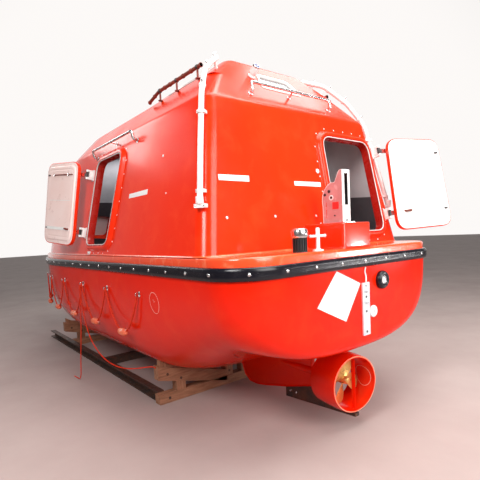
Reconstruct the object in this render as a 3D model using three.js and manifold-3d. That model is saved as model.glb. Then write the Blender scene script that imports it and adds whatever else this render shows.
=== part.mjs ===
// A totally enclosed davit-launched lifeboat standing on its timber and steel cradle.
// Millimetres. +X runs forward, +Y to port, +Z up. The origin is on the floor, under the
// cradle's middle tie, halfway between the transom and the stem.
import * as THREE from "three";
import { mergeVertices } from "three/addons/utils/BufferGeometryUtils.js";
import Module from "manifold-3d";

const wasm = await Module();
wasm.setup();

// Driving dimensions

const SEAT_GAP = 0.3; // left between a piece and the curved face that it is fitted to

const HULL = {
  transom: -3500,
  stem: 3500,
  halfBeam: 1270,
  cornerRadius: 350, // of the transom corners, seen from above
  bottomRadius: 80, // under the transom
  parallelEnd: 300, // where the plan starts to close towards the bow
  sheer: 1475,
  keel: 250,
  transomKeel: 695,
  runAft: -3300, // the bottom falls from here
  runFore: -1650, // to here
  foreFoot: 1500, // and rises from here to the stem
  wall: 70,
  sole: 580, // top of the cabin sole
  innerBow: 3150,
};

const DECK = { thickness: 65, inset: 4 };
const DECK_TOP = HULL.sheer + DECK.thickness;

const FENDER = { bottom: 1380, depth: 32 };

// The canopy leans inwards on all sides. rakeAft and lean are run over rise of its aft and side walls.
const CANOPY = {
  baseZ: 1570,
  aftX: -3100,
  half: 1250,
  rakeAft: 0.175,
  lean: 0.1917,
  creaseZ: 2770, // the aft face and the shoulders break here
  roofZ: 3040,
  crown: 45,
  rakeUpper: 420 / 510,
  roofHalf: 780,
  noseStart: -200,
  noseBase: 2850,
  noseTop: 900,
  corner: 120,
  wall: 55,
};

const CUPOLA = {
  front: -1400,
  top: 3280,
  topHalf: 450,
  screenFoot: -1450,
  screenTop: -1650,
  corner: 80,
  wall: 45,
};

const SIDE_DOOR = {
  // the opening's corners: distance forward, and distance up the wall
  aftLow: -1310,
  foreLow: -680,
  foreHigh: -780,
  aftHigh: -1460,
  low: 82,
  high: 1030,
  radius: 110,
  hingeLow: { x: -580, up: 226 },
  hingeHigh: { x: -600, up: 906 },
  hingeOut: 78,
  openAngle: 167,
};

const STERN_DOOR = {
  // the same on the aft wall, with distances measured to starboard
  portLow: 225,
  starboardLow: 975,
  starboardHigh: 925,
  portHigh: 225,
  low: 92,
  high: 1003,
  radius: 110,
  hingeLow: { across: 1045, up: 254 },
  hingeHigh: { across: 1045, up: 914 },
  hingeOut: 78,
  openAngle: 167,
};

const LEAF = { lip: 30, coamingLip: 62, coamingHeight: 34, clear: 6, thickness: 42, knuckle: 14 };

// The rest position is turned this many degrees from straight, its aft end to port.
const NOZZLE = { x: -3290, z: 392, outer: 248, inner: 222, half: 148, finAft: 145, finFore: 104, turn: -9.2 };
const PROPELLER = { blades: 4, tip: 210, hub: 35, halfHub: 45, pitch: 330 };
const SKEG = { half: 25, aft: -2950, aftLow: 246, heelFore: -2600, heelForeTop: 150, bossRadius: 40 };
const HEEL = { aft: -3430, step: -3075, top: 134, low: 106, foreLow: 58, pin: 14 };

const CRADLE = {
  aftX: -1730,
  foreX: 1500,
  timber: 100,
  reach: 1005,
  railY: 940,
  railHalf: 40,
  railHeight: 110,
  railFore: 2500,
};

const HOOK = {
  aftX: -3277,
  foreX: 3140,
  base: 1745,
  pedestalHalf: 190,
  thickness: 100,
  slotHalf: 17,
  slotLow: 148,
  slotHigh: 405,
};

// Materials

const finish = (colour, roughness, metalness = 0) =>
  new THREE.MeshStandardMaterial({ color: colour, roughness, metalness });

const PAINT = {
  shell: () => finish(0xd8330f, 0.22),
  inside: () => finish(0xd9cfc8, 0.6),
  rubber: () => finish(0x1b1b1f, 0.55),
  steel: () => finish(0xb9bcc0, 0.25, 1),
  darkSteel: () => finish(0x3a3130, 0.55, 0.8),
  white: () => finish(0xe9e9e6, 0.4),
  pipe: () => finish(0xe4dfdc, 0.35),
  rustyPipe: () => finish(0x7c2b20, 0.5, 0.4),
  brass: () => finish(0xc08a3e, 0.3, 1),
  glass: () => finish(0x8a9399, 0.08),
  timber: () => finish(0x8b5a33, 0.8),
  rope: () => finish(0xe2401c, 0.85),
  seat: () => finish(0xb9b6b2, 0.7),
  engine: () => finish(0x46604f, 0.5, 0.3),
};

// Solids: a closed geometry becomes a solid, is joined and cut, and goes back to a geometry

function solidOf(geometry) {
  const bare = geometry.index ? geometry.toNonIndexed() : geometry.clone();
  bare.deleteAttribute("normal");
  bare.deleteAttribute("uv");
  const merged = mergeVertices(bare, 1e-3);
  const vertProperties = new Float32Array(merged.attributes.position.array);
  const triVerts = new Uint32Array(merged.index.array);
  return new wasm.Manifold(new wasm.Mesh({ numProp: 3, vertProperties, triVerts }));
}

function geometryOf(solid) {
  const mesh = solid.getMesh();
  const geometry = new THREE.BufferGeometry();
  geometry.setAttribute("position", new THREE.BufferAttribute(new Float32Array(mesh.vertProperties), 3));
  geometry.setIndex(new THREE.BufferAttribute(new Uint32Array(mesh.triVerts), 1));
  geometry.computeVertexNormals();
  return geometry;
}

const joined = (...geometries) => geometries.map(solidOf).reduce((sum, next) => sum.add(next));

// The same geometry on the other side of the centre plane, its faces turned back outwards.
function mirrored(geometry) {
  const flat = (geometry.index ? geometry.toNonIndexed() : geometry.clone()).scale(1, -1, 1);
  const p = flat.attributes.position;
  for (let i = 0; i < p.count; i += 3) {
    const [x, y, z] = [p.getX(i), p.getY(i), p.getZ(i)];
    p.setXYZ(i, p.getX(i + 1), p.getY(i + 1), p.getZ(i + 1));
    p.setXYZ(i + 1, x, y, z);
  }
  return flat;
}

// Basic shapes

function box(x, y, z) {
  const size = [x, y, z].map(([low, high]) => high - low);
  const centre = [x, y, z].map(([low, high]) => (high + low) / 2);
  return new THREE.BoxGeometry(...size).translate(...centre);
}

function rod(from, to, radius, sides = 16) {
  const along = new THREE.Vector3().subVectors(to, from);
  const barAxis = new THREE.Vector3(0, 1, 0);
  const turn = new THREE.Quaternion().setFromUnitVectors(barAxis, along.clone().normalize());
  return new THREE.CylinderGeometry(radius, radius, along.length(), sides)
    .applyQuaternion(turn)
    .translate(...new THREE.Vector3().addVectors(from, to).multiplyScalar(0.5).toArray());
}

const ellipsoid = (x, y, z) => new THREE.SphereGeometry(1, 8, 5).scale(x, y, z);

// A profile of radius and height, turned about the Y axis.
const lathed = (profile, sides) =>
  new THREE.LatheGeometry(profile.map(([r, height]) => new THREE.Vector2(r, height)), sides);

// A surface through closed rings of equal length, closed at both ends by a fan.
function loft(rings) {
  const count = rings[0].length;
  const points = rings.flat();
  const index = [];
  for (let r = 0; r + 1 < rings.length; r++)
    for (let i = 0; i < count; i++) {
      const [a, b] = [r * count + i, r * count + ((i + 1) % count)];
      index.push(a, b, b + count, a, b + count, a + count);
    }
  const cap = (first, turned) => {
    const ring = points.slice(first, first + count);
    const centre = ring.reduce((sum, p) => sum.add(p), new THREE.Vector3()).divideScalar(count);
    const hub = points.push(centre) - 1;
    for (let i = 0; i < count; i++) {
      const [a, b] = [first + i, first + ((i + 1) % count)];
      index.push(...(turned ? [hub, b, a] : [hub, a, b]));
    }
  };
  cap(0, true);
  cap((rings.length - 1) * count, false);
  const geometry = new THREE.BufferGeometry().setFromPoints(points);
  geometry.setIndex(index);
  return solidOf(geometry).volume() > 0 ? geometry : turnedOut(geometry, index);
}

function turnedOut(geometry, index) {
  const turned = [];
  for (let i = 0; i < index.length; i += 3) turned.push(index[i], index[i + 2], index[i + 1]);
  return geometry.setIndex(turned);
}

// A round bar along points whose corners are rounded.
function bentBar(points, radius, bend, steps, sides = 8) {
  const path = new THREE.CurvePath();
  let start = points[0];
  for (let i = 1; i + 1 < points.length; i++) {
    const before = points[i].clone().sub(points[i - 1]).normalize().multiplyScalar(-bend).add(points[i]);
    const after = points[i + 1].clone().sub(points[i]).normalize().multiplyScalar(bend).add(points[i]);
    path.add(new THREE.LineCurve3(start, before));
    path.add(new THREE.QuadraticBezierCurve3(before, points[i], after));
    start = after;
  }
  path.add(new THREE.LineCurve3(start, points.at(-1)));
  return swept(path, radius, steps, sides);
}

function swept(path, radius, steps, sides) {
  const section = new THREE.Shape();
  section.absarc(0, 0, radius, 0, 2 * Math.PI, false);
  const options = { steps, curveSegments: sides / 2, bevelEnabled: false, extrudePath: path };
  return new THREE.ExtrudeGeometry(section, options);
}

const softBar = (points, radius, steps, sides = 8) =>
  swept(new THREE.CatmullRomCurve3(points, false, "centripetal"), radius, steps, sides);

// Convex outlines given by their corners, anticlockwise

function grown(corners, by) {
  return corners.map((corner, i) => {
    const before = corners.at(i - 1);
    const after = corners[(i + 1) % corners.length];
    const out = (a, b) => new THREE.Vector2(b.y - a.y, a.x - b.x).normalize();
    const [n, m] = [out(before, corner), out(corner, after)];
    return corner.clone().add(n.clone().add(m).multiplyScalar(by / (1 + n.dot(m))));
  });
}

function roundedShape(corners, radius) {
  const shape = new THREE.Shape();
  corners.forEach((corner, i) => {
    const towards = (other) => other.clone().sub(corner).normalize().multiplyScalar(radius).add(corner);
    const from = towards(corners.at(i - 1));
    const to = towards(corners[(i + 1) % corners.length]);
    if (i === 0) shape.moveTo(from.x, from.y);
    else shape.lineTo(from.x, from.y);
    shape.quadraticCurveTo(corner.x, corner.y, to.x, to.y);
  });
  return shape;
}

const rectangle = (width, height, x = 0, y = 0) => [
  new THREE.Vector2(x - width / 2, y - height / 2),
  new THREE.Vector2(x + width / 2, y - height / 2),
  new THREE.Vector2(x + width / 2, y + height / 2),
  new THREE.Vector2(x - width / 2, y + height / 2),
];

// A slab on a wall: outline in the wall's own two directions, between two heights off the wall.
function slab(wall, corners, radius, from, to) {
  const shape = radius ? roundedShape(corners, radius) : new THREE.Shape(corners);
  return new THREE.ExtrudeGeometry(shape, { depth: to - from, bevelEnabled: false, curveSegments: 3 })
    .translate(0, 0, from)
    .applyMatrix4(wall);
}

// A wall's frame: across, up the wall and out of it, at a point on its face.
function wallFrame(point, out, up) {
  const w = out.clone().normalize();
  const v = up.clone().addScaledVector(w, -up.dot(w)).normalize();
  const u = new THREE.Vector3().crossVectors(v, w);
  return new THREE.Matrix4().makeBasis(u, v, w).setPosition(point);
}

const on = (wall, across, up, out) => new THREE.Vector3(across, up, out).applyMatrix4(wall);

const UP = new THREE.Vector3(0, 0, 1);
const at = (x, y, z) => new THREE.Vector3(x, y, z);
const fractions = (count) => Array.from({ length: count + 1 }, (_, i) => i / count);

// The hull's form

function halfBreadth(x) {
  const { transom, stem, halfBeam, cornerRadius: r, parallelEnd } = HULL;
  if (x < transom + r) return halfBeam - r + Math.sqrt(Math.max(r * r - (r - (x - transom)) ** 2, 0));
  if (x < parallelEnd) return halfBeam;
  const s = Math.min((x - parallelEnd) / (stem - parallelEnd), 1);
  return Math.max(halfBeam * (1 - s ** 2.2) ** 0.74, 25);
}

function keelHeight(x) {
  const { transom, runAft, runFore, keel, transomKeel, foreFoot, stem, sheer, bottomRadius: r } = HULL;
  const fillet = x < transom + r ? r - Math.sqrt(r * r - (r - (x - transom)) ** 2) : 0;
  if (x < runFore) {
    const t = Math.max((x - runAft) / (runFore - runAft), 0);
    return keel + (transomKeel - keel) * (0.5 + 0.5 * Math.cos(Math.PI * t)) + fillet;
  }
  if (x < foreFoot) return keel;
  return keel + (sheer - 40 - keel) * ((x - foreFoot) / (stem - foreFoot)) ** 3.2;
}

// How square the section is: round bilges amidships, a V at the bow.
const bowShare = (x) => Math.max((x - HULL.parallelEnd) / (HULL.stem - HULL.parallelEnd), 0);
const breadthPower = (x) => 2.8 - 1.3 * bowShare(x);
const depthPower = (x) => 3.5 - 1.3 * bowShare(x);

// Half-breadth of the hull's outer face at a height.
function hullSideY(x, z) {
  const share = (HULL.sheer - z) / (HULL.sheer - keelHeight(x));
  return halfBreadth(x) * (1 - Math.min(share, 1) ** depthPower(x)) ** (1 / breadthPower(x));
}

const quarterSine = (t) => Math.sin((Math.PI / 2) * t);

const STATIONS = [
  ...fractions(5).map((t) => HULL.transom + HULL.cornerRadius * (1 - quarterSine(1 - t))),
  ...fractions(6).slice(1).map((t) => THREE.MathUtils.lerp(-3150, -1500, t)),
  -700,
  ...fractions(13).map((t) => THREE.MathUtils.lerp(HULL.parallelEnd, HULL.stem, quarterSine(t))),
];

function hullRing(x, half, keel, top) {
  const side = fractions(9).map((t) => {
    const angle = (Math.PI / 2) * t;
    const y = half * Math.sin(angle) ** (2 / breadthPower(x));
    const z = HULL.sheer - (HULL.sheer - keel) * Math.cos(angle) ** (2 / depthPower(x));
    return at(x, y, z);
  });
  if (top > HULL.sheer) side.push(at(x, half, top));
  const other = side.slice(1).map((p) => at(p.x, -p.y, p.z));
  return [...other.reverse(), ...side];
}

const hullForm = (drop = 0) =>
  loft(STATIONS.map((x) => hullRing(x, halfBreadth(x), keelHeight(x), HULL.sheer))).translate(0, 0, -drop);

function hullInside(gap = 0) {
  const { sole, innerBow, transom, sheer } = HULL;
  const wall = HULL.wall + gap;
  const inner = STATIONS.filter((x) => x > transom + wall && x < innerBow);
  const rings = [transom + wall, ...inner, innerBow].map((x) =>
    hullRing(x, halfBreadth(x) - wall, Math.max(keelHeight(x) + wall, sole + gap), sheer + wall));
  return loft(rings);
}

// The plan outline at the sheer, moved outwards.
function planRing(by) {
  const port = STATIONS.map((x) => new THREE.Vector2(x, halfBreadth(x)));
  const ring = [...port, ...port.map((p) => new THREE.Vector2(p.x, -p.y)).reverse()];
  return ring.map((p, i) => {
    const along = ring[(i + 1) % ring.length].clone().sub(ring.at(i - 1)).normalize();
    return p.clone().add(new THREE.Vector2(-along.y, along.x).multiplyScalar(by));
  });
}

const raised = (outline, z) => outline.map((p) => at(p.x, p.y, z));

// A level ring between two outlines.
function plate(ring, low, high, hole) {
  const outside = solidOf(loft([raised(ring, low), raised(ring, high)]));
  return outside.subtract(solidOf(loft([raised(hole, low - 5), raised(hole, high + 5)])));
}

// The canopy's form: outlines at each height

function canopyPlan(z) {
  const { baseZ, aftX, half, rakeAft, lean, creaseZ, roofZ } = CANOPY;
  const { rakeUpper, roofHalf, noseBase, noseTop } = CANOPY;
  const lower = Math.min(z, creaseZ) - baseZ;
  const upper = Math.max(z - creaseZ, 0);
  const rise = (z - DECK_TOP) / (roofZ - DECK_TOP);
  const shoulder = (half - lean * (creaseZ - baseZ) - roofHalf) / (roofZ - creaseZ);
  return {
    aft: aftX + rakeAft * lower + rakeUpper * upper,
    half: half - lean * lower - shoulder * upper,
    fore: noseBase - (noseBase - noseTop) * Math.max(rise, 0) ** 1.7,
  };
}

function canopyOutline({ aft, half, fore }, inset, corner = CANOPY.corner) {
  const [x0, y1, x1] = [aft + inset, half - inset, fore - inset];
  const r = Math.max(corner - inset, 30);
  const { noseStart } = CANOPY;
  const port = [
    ...fractions(4).map((t) => {
      const angle = (Math.PI / 2) * t;
      return new THREE.Vector2(x0 + r - r * Math.cos(angle), y1 - r + r * Math.sin(angle));
    }),
    ...fractions(8).map((t) => {
      const s = Math.sin((Math.PI / 2) * t);
      return new THREE.Vector2(noseStart + (x1 - noseStart) * s, y1 * Math.max(1 - s ** 2.6, 0) ** 0.5);
    }),
  ];
  const starboard = port.slice(0, -1).map((p) => new THREE.Vector2(p.x, -p.y));
  return [...port, ...starboard.reverse()];
}

function canopyForm() {
  const { roofZ, crown, creaseZ } = CANOPY;
  const heights = [DECK_TOP, 1900, 2200, 2500, creaseZ, 2910, roofZ];
  const rings = heights.map((z) => raised(canopyOutline(canopyPlan(z), 0), z));
  rings.push(raised(canopyOutline(canopyPlan(roofZ), 260), roofZ + crown));
  return loft(rings);
}

function canopyInside() {
  const { roofZ, wall, creaseZ } = CANOPY;
  const heights = [DECK_TOP - 100, DECK_TOP, 1900, 2200, 2500, creaseZ, 2910, roofZ - wall];
  return loft(heights.map((z) => raised(canopyOutline(canopyPlan(Math.max(z, DECK_TOP)), wall), z)));
}

// The walls that carry doors and fittings

const sideWall = (side) =>
  wallFrame(at(0, side * CANOPY.half, CANOPY.baseZ), at(0, side, CANOPY.lean), UP);
const AFT_WALL = wallFrame(at(CANOPY.aftX, 0, CANOPY.baseZ), at(-1, 0, CANOPY.rakeAft), UP);
const CREASE_X = canopyPlan(CANOPY.creaseZ).aft;
const UPPER_AFT_WALL = wallFrame(at(CREASE_X, 0, CANOPY.creaseZ), at(-1, 0, CANOPY.rakeUpper), UP);

// Across is positive aft on the port wall and forward on the starboard one.
const forward = (side, x) => -side * x;

function sideDoorCorners(side) {
  const { aftLow, foreLow, foreHigh, aftHigh, low, high } = SIDE_DOOR;
  const corners = [[foreLow, low], [aftLow, low], [aftHigh, high], [foreHigh, high]];
  const placed = corners.map(([x, up]) => new THREE.Vector2(forward(side, x), up));
  return side > 0 ? placed : placed.reverse();
}

const STERN_CORNERS = [
  new THREE.Vector2(STERN_DOOR.portLow, STERN_DOOR.low),
  new THREE.Vector2(STERN_DOOR.starboardLow, STERN_DOOR.low),
  new THREE.Vector2(STERN_DOOR.starboardHigh, STERN_DOOR.high),
  new THREE.Vector2(STERN_DOOR.portHigh, STERN_DOOR.high),
];

const FORE_HATCH = { size: 560, radius: 90, hingeOut: 62 };
const FORE_WALL = wallFrame(at(2600, 0, 2010), at(0.8, 0, 0.6), UP);
const FORE_CORNERS = rectangle(FORE_HATCH.size, FORE_HATCH.size);

const DOORWAYS = [
  { wall: sideWall(1), corners: sideDoorCorners(1), radius: SIDE_DOOR.radius, depth: 250 },
  { wall: sideWall(-1), corners: sideDoorCorners(-1), radius: SIDE_DOOR.radius, depth: 250 },
  { wall: AFT_WALL, corners: STERN_CORNERS, radius: STERN_DOOR.radius, depth: 250 },
  { wall: FORE_WALL, corners: FORE_CORNERS, radius: FORE_HATCH.radius, depth: 420 },
];

// Hinges: stacked knuckles on one axis, the outer two on the canopy and the middle one on the leaf

function hingeAxes() {
  const onSide = (side, { x, up }) => on(sideWall(side), forward(side, x), up, SIDE_DOOR.hingeOut);
  const onStern = ({ across, up }) => on(AFT_WALL, across, up, STERN_DOOR.hingeOut);
  const besideSide = (side) => ({
    low: onSide(side, SIDE_DOOR.hingeLow),
    high: onSide(side, SIDE_DOOR.hingeHigh),
  });
  return {
    port: besideSide(1),
    starboard: besideSide(-1),
    stern: { low: onStern(STERN_DOOR.hingeLow), high: onStern(STERN_DOOR.hingeHigh) },
  };
}

const HINGES = hingeAxes();
const KNUCKLE = { half: 30, lug: 26, play: 0.5 };

function hingeAlong({ low, high }) {
  const along = high.clone().sub(low).normalize();
  return { along, places: [low, high] };
}

// Canopy side of a hinge: two lugs on pads that go into the wall to a depth.
function hingeLugs(hinge, wall, inwards, width, depth) {
  const { along, places } = hingeAlong(hinge);
  const pieces = [];
  for (const place of places)
    for (const end of [-1, 1]) {
      const near = place.clone().addScaledVector(along, end * (KNUCKLE.half + KNUCKLE.play));
      const far = place.clone().addScaledVector(along, end * (KNUCKLE.half + KNUCKLE.lug));
      pieces.push(rod(near, far, LEAF.knuckle, 12));
      const local = near.clone().add(far).multiplyScalar(0.5).applyMatrix4(wall.clone().invert());
      const foot = rectangle(width, KNUCKLE.lug - 4, local.x + inwards * (width / 2 - 10), local.y);
      pieces.push(slab(wall, foot, 0, -depth, local.z - 4));
    }
  return pieces;
}

// Leaf side: a knuckle and a strap that runs onto the leaf's outer face.
function leafStraps(hinge, wall, towards) {
  const { along, places } = hingeAlong(hinge);
  return places.flatMap((place) => {
    const low = place.clone().addScaledVector(along, -KNUCKLE.half);
    const high = place.clone().addScaledVector(along, KNUCKLE.half);
    const local = place.clone().applyMatrix4(wall.clone().invert());
    const reach = rectangle(190, 44, local.x + towards * 95, local.y);
    return [rod(low, high, LEAF.knuckle, 12), slab(wall, reach, 0, local.z + 2, local.z + 12)];
  });
}

const LEAF_LOW = LEAF.coamingHeight + LEAF.clear;
const LEAF_HIGH = LEAF_LOW + LEAF.thickness;

// A door leaf in its closed place, with its straps and outer handle.
function leafSolid(wall, corners, radius, hinge, towards) {
  const sum = corners.reduce((total, corner) => total.add(corner), new THREE.Vector2());
  const middle = sum.divideScalar(corners.length);
  const [across, up] = [middle.x + towards * 190, middle.y];
  return joined(
    slab(wall, grown(corners, LEAF.lip), radius + LEAF.lip, LEAF_LOW, LEAF_HIGH),
    rod(on(wall, across, up, LEAF_HIGH - 5), on(wall, across, up, LEAF_HIGH + 34), 22, 12),
    slab(wall, rectangle(34, 190, across, up - 70), 0, LEAF_HIGH + 18, LEAF_HIGH + 34),
    ...leafStraps(hinge, wall, towards),
  );
}

// Turns a geometry about a hinge, as the door is seen at rest.
function turnedAbout(geometry, { low, high }, degrees) {
  const axis = high.clone().sub(low).normalize();
  return geometry
    .translate(...low.clone().negate().toArray())
    .applyQuaternion(new THREE.Quaternion().setFromAxisAngle(axis, THREE.MathUtils.degToRad(degrees)))
    .translate(...low.toArray());
}

// Scene graph

const boat = new THREE.Group();

function put(name, geometryOrSolid, material, parent = boat) {
  const geometry = geometryOrSolid.isBufferGeometry ? geometryOrSolid : geometryOf(geometryOrSolid);
  const mesh = new THREE.Mesh(geometry, material);
  mesh.name = name;
  parent.add(mesh);
  return mesh;
}

// Hull, skeg, fender and deck

const STOCK = { radius: 18, gland: 42, top: 656 };

function buildHull() {
  const gland = rod(at(NOZZLE.x, 0, STOCK.top + 0.5), at(NOZZLE.x, 0, HULL.transomKeel + 40), STOCK.gland);
  const hull = joined(hullForm(), gland).subtract(solidOf(hullInside()));
  put("hull", hull, PAINT.shell());
}

const shapeOf = (outline) => new THREE.Shape(outline.map(([x, z]) => new THREE.Vector2(x, z)));

function skegShape() {
  const { aft, aftLow, heelFore, heelForeTop } = SKEG;
  return shapeOf([
    [aft, aftLow], [heelFore, heelForeTop], [-2300, 85], [-2150, 62], [-2030, 70], [-1950, 130], [-1880, 300],
    [-2600, 600], [aft, 700],
  ]);
}

// The bar under the skeg that carries the nozzle's lower pin.
function heelShape() {
  const { aft, step, top, low, foreLow } = HEEL;
  return shapeOf([
    [aft, low], [SKEG.heelFore, foreLow], [SKEG.heelFore, SKEG.heelForeTop - SEAT_GAP],
    [SKEG.aft, SKEG.aftLow - SEAT_GAP], [step, top], [aft, top],
  ]);
}

// Stands a shape drawn in x and z upright, half its thickness on each side of the centre plane.
function upright(shape, thickness) {
  return new THREE.ExtrudeGeometry(shape, { depth: thickness, bevelEnabled: false, curveSegments: 6 })
    .rotateX(Math.PI / 2)
    .translate(0, thickness / 2, 0);
}

function buildSkeg() {
  const { half, aft, bossRadius } = SKEG;
  const bossAft = NOZZLE.x + PROPELLER.halfHub + 0.5;
  const boss = rod(at(bossAft, 0, NOZZLE.z), at(aft + 420, 0, NOZZLE.z), bossRadius);
  const skeg = joined(upright(skegShape(), 2 * half), boss).subtract(solidOf(hullForm(SEAT_GAP)));
  put("skeg", skeg, PAINT.shell());
  const heel = joined(
    upright(heelShape(), 2 * half),
    rod(at(NOZZLE.x, 0, HEEL.top - 10), at(NOZZLE.x, 0, NOZZLE.z - NOZZLE.outer - 0.5), HEEL.pin),
  );
  put("heel_bar", heel, PAINT.darkSteel());
}

function buildFenderAndDeck() {
  const fender = plate(planRing(FENDER.depth), FENDER.bottom, HULL.sheer, planRing(SEAT_GAP));
  put("fender", fender, PAINT.rubber());
  const cabin = canopyOutline(canopyPlan(DECK_TOP), CANOPY.wall);
  put("deck", plate(planRing(-DECK.inset), HULL.sheer, DECK_TOP, cabin), PAINT.shell());
}

// Canopy and cupola

function cupolaDome(inset, low, high) {
  const { topHalf, screenFoot, screenTop, top } = CUPOLA;
  const { roofZ } = CANOPY;
  const outline = (z) => {
    const rise = (z - roofZ) / (top - roofZ);
    const aft = canopyPlan(z).aft + inset;
    const fore = THREE.MathUtils.lerp(screenFoot, screenTop, rise) - inset;
    const half = THREE.MathUtils.lerp(CANOPY.roofHalf, topHalf, rise) - inset * 1.3;
    return roundedShape(rectangle(fore - aft, 2 * half, (fore + aft) / 2), CUPOLA.corner).getPoints(4);
  };
  return loft([low, high].map((z) => raised(outline(z), z)));
}

// Windows of the cupola: wall, middle, and width at the foot and at the head
const SCREEN_WALL = wallFrame(
  at(CUPOLA.screenFoot, 0, CANOPY.roofZ),
  at(CUPOLA.top - CANOPY.roofZ, 0, CUPOLA.screenFoot - CUPOLA.screenTop),
  UP,
);
const domeSideWall = (side) =>
  wallFrame(at(-2060, side * CANOPY.roofHalf, CANOPY.roofZ),
    at(0, side * (CUPOLA.top - CANOPY.roofZ), CANOPY.roofHalf - CUPOLA.topHalf), UP);

const AFT_PANE = { wall: UPPER_AFT_WALL, across: -20, up: 382, foot: 500, head: 380, height: 205 };
const FORE_PANE = { wall: SCREEN_WALL, up: 150, foot: 360, head: 300, height: 170 };
const SIDE_PANE = { across: 0, up: 205, foot: 560, head: 480, height: 200 };

const WINDOWS = [
  { name: "window_aft", ...AFT_PANE },
  { name: "window_fore_port", ...FORE_PANE, across: 215 },
  { name: "window_fore_starboard", ...FORE_PANE, across: -215 },
  { name: "window_side_port", ...SIDE_PANE, wall: domeSideWall(1) },
  { name: "window_side_starboard", ...SIDE_PANE, wall: domeSideWall(-1) },
];

const windowCorners = ({ across, up, foot, head, height }) => [
  new THREE.Vector2(across - foot / 2, up - height / 2),
  new THREE.Vector2(across + foot / 2, up - height / 2),
  new THREE.Vector2(across + head / 2, up + height / 2),
  new THREE.Vector2(across - head / 2, up + height / 2),
];

function buildCanopy() {
  const { coamingLip, coamingHeight } = LEAF;
  let shell = solidOf(canopyForm());
  for (const { wall, corners, radius, depth } of DOORWAYS) {
    const rim = grown(corners, coamingLip);
    shell = shell.add(solidOf(slab(wall, rim, radius + coamingLip, -depth, coamingHeight)));
  }
  shell = shell.subtract(solidOf(canopyInside()));
  for (const { wall, corners, radius, depth } of DOORWAYS)
    shell = shell.subtract(solidOf(slab(wall, corners, radius, -depth - 50, coamingHeight + 5)));
  const head = solidOf(box([-4000, CUPOLA.front], [-2000, 2000], [CANOPY.creaseZ, 4000]));

  const lugs = [
    ...hingeLugs(HINGES.port, sideWall(1), -1, 28, 20),
    ...hingeLugs(HINGES.starboard, sideWall(-1), 1, 28, 20),
    ...hingeLugs(HINGES.stern, AFT_WALL, -1, 44, 70),
    ...foreHatchLugs(),
  ];
  const canopy = shell.subtract(head).add(joined(...lugs)).subtract(solidOf(canopyInside()));
  put("canopy", canopy, PAINT.shell());

  const { wall, top } = CUPOLA;
  let cupola = shell.intersect(head).add(solidOf(cupolaDome(0, CANOPY.roofZ - 30, top)));
  cupola = cupola.subtract(solidOf(cupolaDome(wall, CANOPY.roofZ - 120, top - wall)));
  const hatchway = slab(TOP_WALL, TOP_CORNERS, 80, -120, 60);
  cupola = cupola.add(joined(...cupolaCoaming())).subtract(solidOf(hatchway));
  for (const pane of WINDOWS)
    cupola = cupola.subtract(solidOf(slab(pane.wall, windowCorners(pane), 45, -140, 60)));
  put("cupola", cupola, PAINT.shell());
  for (const pane of WINDOWS) {
    const outline = grown(windowCorners(pane), -SEAT_GAP);
    put(pane.name, slab(pane.wall, outline, 45, -24, -12), PAINT.glass());
  }
}

// Hatches: one on the fore slope, one on the cupola's flat top

const TOP_HATCH = { size: 520, centreX: -2060, coamingHeight: 26, coaming: 45, hingeOut: 52 };
const TOP_WALL = wallFrame(at(TOP_HATCH.centreX, 0, CUPOLA.top), UP, at(1, 0, 0));
const TOP_CORNERS = rectangle(TOP_HATCH.size, TOP_HATCH.size);

const hatchHinge = (wall, up, out) => ({ low: on(wall, -150, up, out), high: on(wall, 150, up, out) });
const FORE_HINGE = hatchHinge(FORE_WALL, FORE_HATCH.size / 2 + 78, FORE_HATCH.hingeOut);
const TOP_HINGE = hatchHinge(TOP_WALL, TOP_HATCH.size / 2 + 66, TOP_HATCH.hingeOut);

function hatchLugs(wall, hinge, foot, up) {
  const { along, places } = hingeAlong(hinge);
  return places.flatMap((place) => [-1, 1].flatMap((end) => {
    const near = place.clone().addScaledVector(along, end * (KNUCKLE.half + KNUCKLE.play));
    const far = place.clone().addScaledVector(along, end * (KNUCKLE.half + KNUCKLE.lug));
    const local = near.clone().add(far).multiplyScalar(0.5).applyMatrix4(wall.clone().invert());
    const stand = rectangle(KNUCKLE.lug - 4, 22, local.x, local.y + up);
    return [rod(near, far, LEAF.knuckle, 12), slab(wall, stand, 0, foot, local.z - 3)];
  }));
}

const foreHatchLugs = () => hatchLugs(FORE_WALL, FORE_HINGE, -150, 8);

function cupolaCoaming() {
  const { coaming, coamingHeight } = TOP_HATCH;
  const ring = slab(TOP_WALL, grown(TOP_CORNERS, coaming), 100, -CUPOLA.wall, coamingHeight);
  return [ring, ...hatchLugs(TOP_WALL, TOP_HINGE, -10, 8)];
}

function hatchLid(wall, corners, hinge, low, thickness, radius) {
  const { along, places } = hingeAlong(hinge);
  const face = low + thickness;
  const straps = places.flatMap((place) => {
    const from = place.clone().addScaledVector(along, -KNUCKLE.half);
    const to = place.clone().addScaledVector(along, KNUCKLE.half);
    const local = place.clone().applyMatrix4(wall.clone().invert());
    const strap = rectangle(44, 150, local.x, local.y - 75);
    return [rod(from, to, LEAF.knuckle, 12), slab(wall, strap, 0, face - 4, face + 8)];
  });
  const gripUp = -corners[2].y * 0.6;
  const grip = rod(on(wall, 0, gripUp, face - 5), on(wall, 0, gripUp, face + 30), 24, 12);
  return joined(slab(wall, grown(corners, 25), radius, low, face), grip, ...straps);
}

// Doors, each made closed and turned to where it stands at rest

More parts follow.
